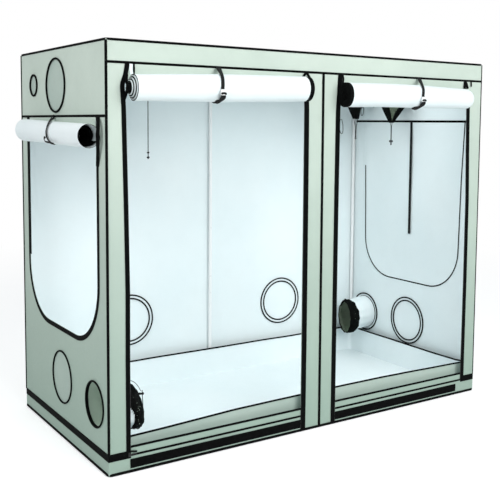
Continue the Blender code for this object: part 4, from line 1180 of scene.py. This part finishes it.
# A winding is its height, radius, pitch and turns. A door is its winding, its seam's height and flat size.
FRONT_WINDING, SIDE_WINDING = (FRONT_ROLL_HEIGHT, 0.0595, 0.005, 7), (1.578, 0.055, 0.006, 4)
FRONT_DOOR, SIDE_DOOR = (FRONT_WINDING, 1.894, (0.926, 1.78)), (SIDE_WINDING, 1.654, (0.96, 1.07))
ROLLS = (
    (
        "left_front", FRONT, (-1.0945, -0.1345), (-1.0945, -0.118), FRONT_DOOR, ("spiral", "bound"),
        LEFT_RISE, LEFT_FULL
    ),
    (
        "right_front", FRONT, (0.102, 1.028), (0.102, 1.077), FRONT_DOOR, ("black", "round"), RIGHT_RISE,
        RIGHT_FULL
    ),
    (
        "left_side", LEFT, (-0.405, 0.533), (-0.478, 0.480), SIDE_DOOR, ("round", "hollow"), SIDE_RISE,
        SIDE_FULL
    )
)
for seed, (name, place, span, hung_span, (winding, top, flat), ends, rise, full) in enumerate(ROLLS):
    node = f"{name}_door"
    hung = hanging_cloth(f"{node}_hanging_cloth", place, *hung_span, top, winding[0], node, seed)
    roll = rolled_door(f"{node}_roll", node, place, *span, *winding, seed + 3, ends, rise, full)
    wall = "left_wall_cloth" if name == "left_side" else "front_wall_cloth"


wound_tape("left_front_zip_spare_tape", -1.1115, 0.024, 1.788, 0.024, "left_front_door")
wound_tape("right_front_zip_spare_tape", 0.1135, 0.026, FRONT_ROLL_HEIGHT, 0.026, "right_front_door")


# Loose ends. The zips' tapes are too stiff to lie flat beside the rolls: they bend out, and their last turns
# stand up. Two loops of thin tape hang free: a zip's pull, and one sewn in the right wall.
def loose_tape(name, points, width, face=(-0.3, -1, 0), thickness=ZIP_TAPE, material=TRIM):
    """A short end of tape that stands off the cloth."""
    section = tape_section(width, thickness, 0.0003)
    piece = sweep(name, smooth_route(points, 0.008), section, material, face=face)
    return piece


loose_tape(
    "left_front_zip_outer_turn",
    [
        (-1.103, -0.604, 1.848), (-1.108, -0.612, 1.822), (-1.1035, -0.622, 1.79), (-1.109, -0.612, 1.762),
        (-1.116, -0.604, 1.735)
    ],
    0.0155
)
loose_tape(
    "left_front_zip_edge", [(-1.069, -0.606, 1.897), (-1.068, -0.607, 1.872), (-1.070, -0.608, 1.845)], 0.0095
)
loose_tape(
    "left_front_zip_flap", [(-1.081, -0.6055, 1.894), (-1.083, -0.607, 1.872), (-1.080, -0.608, 1.848)],
    0.015, material=INSIDE
)
loose_tape(
    "left_front_right_zip_tab_left",
    [(-0.110, -0.604, 1.897), (-0.120, -0.607, 1.886), (-0.134, -0.609, 1.868)], 0.013
)
loose_tape(
    "left_front_right_zip_tab_right",
    [(-0.107, -0.604, 1.897), (-0.098, -0.607, 1.886), (-0.085, -0.609, 1.866)], 0.013
)
loose_tape(
    "right_front_left_zip_edge", [(0.131, -0.604, 1.897), (0.134, -0.607, 1.875), (0.130, -0.608, 1.845)],
    0.010
)
loose_tape(
    "right_front_right_zip_tab_left",
    [(1.054, -0.604, 1.898), (1.050, -0.609, 1.880), (1.045, -0.612, 1.852)], 0.016
)
loose_tape(
    "right_front_right_zip_tab_right",
    [(1.058, -0.604, 1.898), (1.063, -0.609, 1.880), (1.071, -0.612, 1.853)], 0.016
)
loose_tape(
    "right_front_right_zip_edge", [(1.104, -0.604, 1.897), (1.106, -0.606, 1.884), (1.105, -0.607, 1.866)],
    0.009
)
loose_tape(
    "left_sill_zip_tab", [(-1.096, -0.6045, 0.1025), (-1.080, -0.606, 0.100), (-1.062, -0.607, 0.0965)],
    0.0085
)
pull = [
    (0.118, -0.607, 1.662), (0.112, -0.609, 1.64), (0.111, -0.61, 1.61), (0.118, -0.611, 1.588),
    (0.128, -0.611, 1.584), (0.134, -0.61, 1.60), (0.133, -0.609, 1.635), (0.126, -0.607, 1.662)
]
loose_tape("right_front_zip_pull", pull, 0.0032, thickness=0.0016)
loop = [
    (1.194, 0.497, 1.775), (1.192, 0.490, 1.745), (1.190, 0.492, 1.712), (1.190, 0.505, 1.700),
    (1.191, 0.517, 1.716), (1.193, 0.515, 1.75), (1.194, 0.507, 1.775)
]
loose_tape("right_wall_hanging_loop", loop, 0.004, face=(-1, -0.4, 0), thickness=0.0016)
side_end = [
    (-1.2035, -0.515, 1.654), (-1.217, -0.5485, 1.615), (-1.2225, -0.553, 1.575), (-1.2205, -0.550, 1.535),
    (-1.2125, -0.531, 1.490), (-1.2035, -0.5035, 1.430)
]
loose_tape("left_side_zip_loose_end", side_end, 0.020, face=(-1, -0.6, 0))


# Straps. Black webbing straps are sewn in the seams over the rolled doors, and pass round the rolls to a
# buckle at the front. One more, with no door to tie, hangs inside from the right side's seam.
def webbing():
    finish = Finish("black_webbing", 0.7, Specular_IOR_Level=0.18)
    ribs = finish.sum("MULTIPLY", finish.threads(0.0022, "X"), finish.threads(0.0016, "Y"))
    groove = finish.threads(0.0075, "X")
    colour = finish.colours(ribs, (0.003, 0.0035, 0.004), (0.010, 0.011, 0.012))
    finish.paint(finish.shade(colour, finish.spread(groove, 0.5, 0, 0, 0.3), 0.5))
    finish.relief(ribs, 0.0004, 0.8)
    finish.relief(groove, 0.0005, 0.5)
    return finish.material


WEBBING = webbing()


def strap(name, place, path, width, node, body=None, faces=None):
    """Webbing along a path in a wall's frame, with its flat side turned away from the roll."""
    points = [Vector(p) for p in path]
    outs = []
    for i in range(len(points)):
        way = points[min(i + 1, len(points) - 1)] - points[max(i - 1, 0)]
        outs.append(Vector((0, way.z, -way.y)))
    if faces:
        outs = [Vector(f) for f in faces]
    turn = place.to_3x3()
    outs = [turn @ o for o in outs]
    points = [place @ p for p in points]
    piece = sweep(name, points, tape_section(width, 0.0015, 0.0002), WEBBING, body, face=outs)
    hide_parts(node)
    return piece


def round_the_roll(centre, radius, start, end, lean_start, lean_end):
    """Points on an arc in front of a roll. The angles, in degrees, rise from straight out of the wall."""
    points = []
    steps = 16
    for i in range(steps + 1):
        part = i / steps
        angle = math.radians(start + (end - start) * part)
        lean = lean_start + (lean_end - lean_start) * part
        points.append(Vector(centre) + Vector((lean, -radius * math.cos(angle), radius * math.sin(angle))))
    return points


def tangent(radius, back, above):
    """Where a strap from behind and above a roll's centre first lies on the roll, in degrees."""
    return math.degrees(math.atan2(above, -back) - math.acos(radius / math.hypot(back, above)))


STRAP_WIDTH, UPPER_WRAP, LOWER_WRAP = 0.018, 0.06085, 0.06385
STRAP_DEPTH, STRAP_BEHIND, FREE_END_DEPTH = -0.00105, 0.00255, -0.1253


def front_straps(side, x, lean, tail):
    """The strap over a roll, the one under it, and its loose end, which hangs from the buckle."""
    height = FRONT_ROLL_HEIGHT
    centre = Vector((x, ROLL_DEPTH, height))
    start = tangent(UPPER_WRAP, STRAP_DEPTH - centre.y, 0.11)
    path = [(x, STRAP_DEPTH, 1.906), (x, STRAP_DEPTH, 1.9)]
    # How far this roll stands up, and how full it is, under its strap.
    rise, full = (0.0105, 1.15) if side == "left" else (0.005, 1.12)
    for p in round_the_roll(centre, UPPER_WRAP, start, 4, -0.75 * lean, -lean):
        share = max(p.z - height, 0) / UPPER_WRAP
        path.append(Vector((p.x, p.y, p.z + share * (rise + UPPER_WRAP * (full - 1)))))
    path.append(centre + Vector((-lean, -0.0640, -0.003)))
    door = f"{side}_front_door"
    top = strap(f"{side}_front_strap_webbing", FRONT, path, STRAP_WIDTH, f"{side}_front_strap")
    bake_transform(top)
    low = Vector((x - lean, ROLL_DEPTH, height))
    under = round_the_roll(low, LOWER_WRAP, -150, -38, 0, 0)
    path = [(low.x, STRAP_BEHIND, 1.915), (low.x, STRAP_BEHIND, height), *under]
    path += [(low.x, FREE_END_DEPTH, 1.757), (low.x, FREE_END_DEPTH, 1.784)]
    lower = strap(f"{side}_front_lower_strap_webbing", FRONT, path, STRAP_WIDTH, f"{side}_front_lower_strap")
    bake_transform(lower)
    fold = [(low.x - 0.014, -0.1325, 1.768), (low.x - 0.009, -0.1345, 1.7715), (low.x, -0.135, 1.7725)]
    fold += [(low.x + 0.009, -0.134, 1.771), (low.x + 0.0125, -0.132, 1.7665)]
    fold = [FRONT @ Vector(p) for p in fold]
    piece = sweep(f"{side}_front_strap_fold", fold, tape_section(0.0095, 0.002, 0.001), WEBBING, door)
    path = smooth_route([FRONT @ Vector((low.x + a, b, c)) for a, b, c in tail], 0.004)
    count = len(path) - 1

    def tail_size(i):
        """The loose end is narrower where it bends, and cut to a point."""
        if i < count * 0.86:
            return 1 - 0.32 * math.sin(math.pi * min(i / count * 1.3, 1))
        return 1 - 0.75 * (i / count - 0.86) / 0.14

    sizes = [tail_size(i) for i in range(count + 1)]
    faces = [Vector((-0.2, -1, 0.9 - 0.9 * i / count)) for i in range(count + 1)]
    section = tape_section(0.019, 0.0022, 0.0006)
    piece = sweep(f"{side}_front_strap_tail", path, section, WEBBING, door, face=faces, sizes=sizes)


front_straps(
    "left", -0.629, 0.043,
    [
        (0.002, -0.1285, 1.761), (0.000, -0.134, 1.753), (-0.009, -0.137, 1.744), (-0.028, -0.138, 1.735),
        (-0.052, -0.135, 1.727)
    ]
)
front_straps(
    "right", 0.684, 0.077,
    [
        (0.000, -0.1285, 1.764), (-0.004, -0.135, 1.756), (-0.018, -0.140, 1.745), (-0.045, -0.142, 1.734),
        (-0.074, -0.140, 1.726), (-0.098, -0.135, 1.724)
    ]
)

# The side strap's way round its roll: degrees from straight out of the wall, and x in the wall's frame.
SIDE_STRAP_TURNS = (
    (69, 0.082), (52, 0.108), (34, 0.126), (9, 0.131), (-10, 0.132),
    (-28, 0.125), (-50, 0.122), (-80, 0.12), (-110, 0.12), (-140, 0.12)
)
centre = Vector((0, -0.0555, 1.580))
route = [Vector((-0.081, STRAP_DEPTH, 1.668)), Vector((-0.081, STRAP_DEPTH, 1.657))]
for angle, x in SIDE_STRAP_TURNS:
    turn = math.radians(angle)
    out = Vector((0, -math.cos(turn), math.sin(turn)))
    route.append(centre + Vector((x, 0, 0)) + out * 0.0585)
route += [Vector((0.12, 0.0025, 1.60)), Vector((0.12, 0.0025, 1.668))]
path = smooth_route(route, 0.008)


def side_strap_face(p):
    """Out of the wall over the seam, into it behind the roll, and away from the roll round it."""
    if p.z > 1.645 and p.y > -0.02:
        return Vector((0, -1, 0))
    if p.y > -0.002:
        return Vector((0, 1, 0))
    return Vector((0, p.y - centre.y, p.z - centre.z))


outs = [side_strap_face(p) for p in path]
side_strap = strap("left_side_strap_webbing", LEFT, path, 0.0165, "left_side_strap", body="tent", faces=outs)
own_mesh(side_strap)
hook = [
    (0.116, -0.1135, 1.560), (0.113, -0.1165, 1.548), (0.120, -0.117, 1.539), (0.140, -0.1145, 1.534),
    (0.163, -0.112, 1.533), (0.190, -0.1095, 1.5295), (0.222, -0.106, 1.527)
]
path = smooth_route([LEFT @ Vector(p) for p in hook], 0.006)
out = LEFT.to_3x3() @ Vector((0.1, -0.75, -0.6))
piece = sweep("left_side_strap_tail", path, tape_section(0.013, 0.002, 0.0006), WEBBING, face=out)
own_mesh(piece)
path = [(0, STRAP_BEHIND, SEAM_HEIGHT - 0.75 * i / 20) for i in range(21)]
inward = [(0, 1, 0)] * len(path)
strap(
    "right_door_strap_webbing", RIGHT, path, 0.022, "right_door_strap", body="right_door_strap", faces=inward
)


# Sleeves. Cloth tubes are sewn round the open ports and lead inwards, to be tied round a duct. The upper
# two are black, drawn shut, and hang down. The lower two are white, with a scrunched black cuff.
# Painted light and shade: both linings are one cloth, dark green as painted shade in the right sleeve's
# mouth, pale as painted light in the left one.
SHADED_GREEN_LINING = woven("shaded_green_sleeve_lining", (0.10, 0.145, 0.095), (0.15, 0.20, 0.14), 0.65)
LIT_PALE_LINING = woven("lit_pale_sleeve_lining", (0.38, 0.49, 0.40), (0.45, 0.56, 0.46), 0.65)
# Painted highlight: a lighter grey-green patch on the black sock, where the front light falls.
SOCK_PAINTED_HIGHLIGHT = woven_black("sock_painted_highlight_cloth", 0.65, (0.09, 0.12, 0.085), (0.16, 0.19, 0.14))
BETWEEN_ROWS, CUFF_DRAW, HEM_ALLOWANCE = 7, 0.24, 1.05


def sleeve(
    name, place, port, reach, drop, shares, pleats, seed, cuff=None, painted_highlight=None, narrow=0.0,
    lining=SHADED_GREEN_LINING, bunch=None
):
    """A sleeve whose rows share out its reach, drop, turn, radius and pleat. A cuff starts at a share."""
    x, z, radius = port

    def bunched(degrees):
        """How much of the cuff's cloth is drawn together at an angle, by its cord."""
        return math.exp(-(((degrees - bunch + 180) % 360 - 180) / 26) ** 2) if bunch else 0.0

    rings = []
    for i in range((len(shares) - 1) * BETWEEN_ROWS + 1):
        k, t = divmod(i, BETWEEN_ROWS)
        first, second = shares[k], shares[min(k + 1, len(shares) - 1)]
        t /= BETWEEN_ROWS
        rings.append([a + (b - a) * t for a, b in zip(first, second)])
    sides = 96
    vertices, faces, uvs, slots = [], [], [], []
    for layer in (0, 1):
        for reach_share, drop_share, turn_share, radius_share, pleat in rings:
            centre = Vector((x, 0.0038 + reach * reach_share, z - drop * drop_share))
            turn = turn_share * math.pi / 2
            up = Vector((0, math.sin(turn), math.cos(turn)))
            for side in range(sides):
                angle = math.tau * side / sides
                drawn = bunched(math.degrees(angle))
                start = cuff - CUFF_DRAW * drawn if cuff else 1.0
                scrunched = max(0, (reach_share - start) / (1 - start)) if cuff else 0
                spot = Vector((math.cos(angle), math.sin(angle), 0))
                ripple = math.cos(pleats * angle + 0.6 * math.sin(3 * angle + seed))
                uneven = 0.5 * noise.noise(6 * spot + Vector((0, 0, seed + reach_share * 2)))
                fold = pleat * (ripple + uneven)
                crease = 0.02 * noise.noise(2 * spot + Vector((0, 0, reach_share * 6 + seed)))
                crease = crease * min(reach_share * 4, 1) * (1.2 - reach_share)
                if scrunched:
                    ridge = math.sin(math.pi * min(scrunched * 1.15, 1)) ** 0.5
                    broad = 0.09 * noise.noise(2.6 * spot + Vector((seed, 0, scrunched * 3.5)))
                    fine = 0.06 * noise.noise(7 * spot + Vector((seed, 2, scrunched * 9)))
                    crease += ridge * (0.085 + 0.13 * drawn + broad + fine)
                size = (radius + CLOTH) * radius_share * (1 + fold + crease) - layer * CLOTH
                pressed = min(scrunched * 1.6, 1)
                way = Vector((math.cos(angle) * (1 - narrow * pressed), 0, 0)) + up * math.sin(angle)
                way.x += narrow * 0.35 * pressed * math.sin(angle)
                vertices.append(place @ (centre + way * size))
    count = len(rings) * sides
    for layer in (0, 1):
        for ring in range(len(rings) - 1):
            for side in range(sides):
                after = (side + 1) % sides
                a, b = layer * count + ring * sides, layer * count + (ring + 1) * sides
                quad = (a + side, b + side, b + after, a + after)
                u, w = side / sides * math.tau * radius, (side + 1) / sides * math.tau * radius
                r, s = rings[ring][0] * reach, rings[ring + 1][0] * reach
                square = [(u, r), (u, s), (w, s), (w, r)]
                faces.append(quad if not layer else quad[::-1])
                uvs += square if not layer else square[::-1]
                if cuff:
                    start = cuff - CUFF_DRAW * bunched(side / sides * 360)
                    # Inside the cuff, black shows at the mouth as the cuff's own cloth, and on the upper side
                    # as painted shade; lower down the lining shows.
                    upper = math.sin(math.tau * side / sides) > 0.55
                    shows = not layer or rings[ring][0] > 0.93 or upper
                    black = rings[ring][0] >= start and shows
                    slots.append(0 if black else (3 if layer else 2))
                # Painted highlight: outer faces turned towards the light, within an angle that narrows lower
                # down, take the lighter cloth.
                elif painted_highlight:
                    turned = (side / sides * 360 - painted_highlight[0] + 180) % 360 - 180
                    wide = painted_highlight[1] * min(1, (1 - rings[ring][1]) / 0.55) - 6
                    slots.append(1 if not layer and abs(turned) < wide else 0)
                else:
                    slots.append(0)
    for ring, order in ((0, 1), (len(rings) - 1, -1)):
        for side in range(sides):
            after = (side + 1) % sides
            a = ring * sides
            faces.append((a + side, a + after, count + a + after, count + a + side)[::order])
            uvs += [(0, 0), (0.01, 0), (0.01, 0.001), (0, 0.001)]
            slots.append(0)
    cloths = [BLACK_WOVEN, SOCK_PAINTED_HIGHLIGHT, INSIDE, lining]
    piece = place_mesh(f"{name}_cloth", vertices, faces, uvs, cloths, "tent", slots, sharp=60)
    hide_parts(name)
    return piece


# Each row is a share of the reach, drop, quarter turn and radius, and the depth of the pleats.
LARGE_SOCK = (
    (0.0, 0.0, 0.0, 1.0, 0.0), (0.34, 0.05, 0.25, 0.99, 0.01), (0.7, 0.2, 0.6, 0.95, 0.02),
    (0.95, 0.5, 0.9, 0.8, 0.05), (1.0, 1.0, 1.0, 0.15, 0.1)
)
SMALL_SOCK = (
    (0.0, 0.0, 0.0, 1.0, 0.0), (0.4, 0.05, 0.22, 0.98, 0.01), (0.84, 0.2, 0.5, 0.93, 0.03),
    (1.09, 0.5, 0.93, 0.76, 0.06), (1.0, 1.0, 1.0, 0.34, 0.09)
)
RIGHT_OPEN = (
    (0.0, 0.0, 0.0, 1.0, 0.0), (0.3, 0.12, 0.03, 0.99, 0.012), (0.62, 0.45, 0.04, 0.96, 0.02),
    (0.8, 0.8, 0.02, 0.97, 0.02), (1.0, 1.0, -0.04, 0.97, 0.025)
)
LEFT_OPEN = (
    (0.0, 0.0, 0.0, 1.0, 0.0), (0.3, 0.2, 0.0, 0.99, 0.012), (0.55, 0.5, -0.02, 0.97, 0.02),
    (0.78, 0.8, -0.05, 0.98, 0.02), (1.0, 1.0, -0.08, 0.96, 0.025)
)
sleeve(
    "right_large_sleeve", RIGHT, RIGHT_PORTS[2], 0.137, 0.211, LARGE_SOCK, pleats=14, seed=1, painted_highlight=(143, 36)
)
sleeve("right_small_sleeve", RIGHT, RIGHT_PORTS[3], 0.16, 0.152, SMALL_SOCK, pleats=9, seed=2)
sleeve(
    "right_low_sleeve", RIGHT, RIGHT_PORTS[0], 0.190, 0.020, RIGHT_OPEN, pleats=12, seed=3, cuff=0.70,
    narrow=0.36
)
sleeve(
    "left_low_sleeve", LEFT, LEFT_PORTS[0], 0.2, 0.043, LEFT_OPEN, pleats=12, seed=4, cuff=0.74,
    lining=LIT_PALE_LINING, bunch=28
)


# Buckles, lock and zip slider. The front straps' buckles are moulded in white plastic, and the large upper
# sleeve's cord lock in black. The left front door's zip slider is cast metal in black enamel, a little worn.
def black_enamel():
    finish = Finish("black_enamel", 0.32, Metallic=0.6)
    worn = finish.spread(finish.cloud(260, 5), 0, 1, 0.6, 0.75)
    finish.paint(finish.colours(worn, (0.015, 0.015, 0.016), (0.09, 0.09, 0.095)))
    finish.polish(finish.spread(finish.cloud(180), 0.25, 0.42))
    finish.relief(finish.cloud(900, 2), 0.0001, 0.4)
    return finish.material


def moulded_white():
    finish = Finish("moulded_white", 0.4, Specular_IOR_Level=0.5)
    finish.paint(finish.colours(finish.cloud(40), (0.80, 0.82, 0.82), (0.86, 0.87, 0.87)))
    finish.relief(finish.cloud(1200, 2), 0.0001, 0.4)
    return finish.material


ENAMEL, MOULDED_WHITE = black_enamel(), moulded_white()
repaint("left_front_zip_slider", ENAMEL)
repaint("left_front_buckle", MOULDED_WHITE)
repaint("right_front_buckle", MOULDED_WHITE)
repaint("right_large_cord_lock", MOULDED)
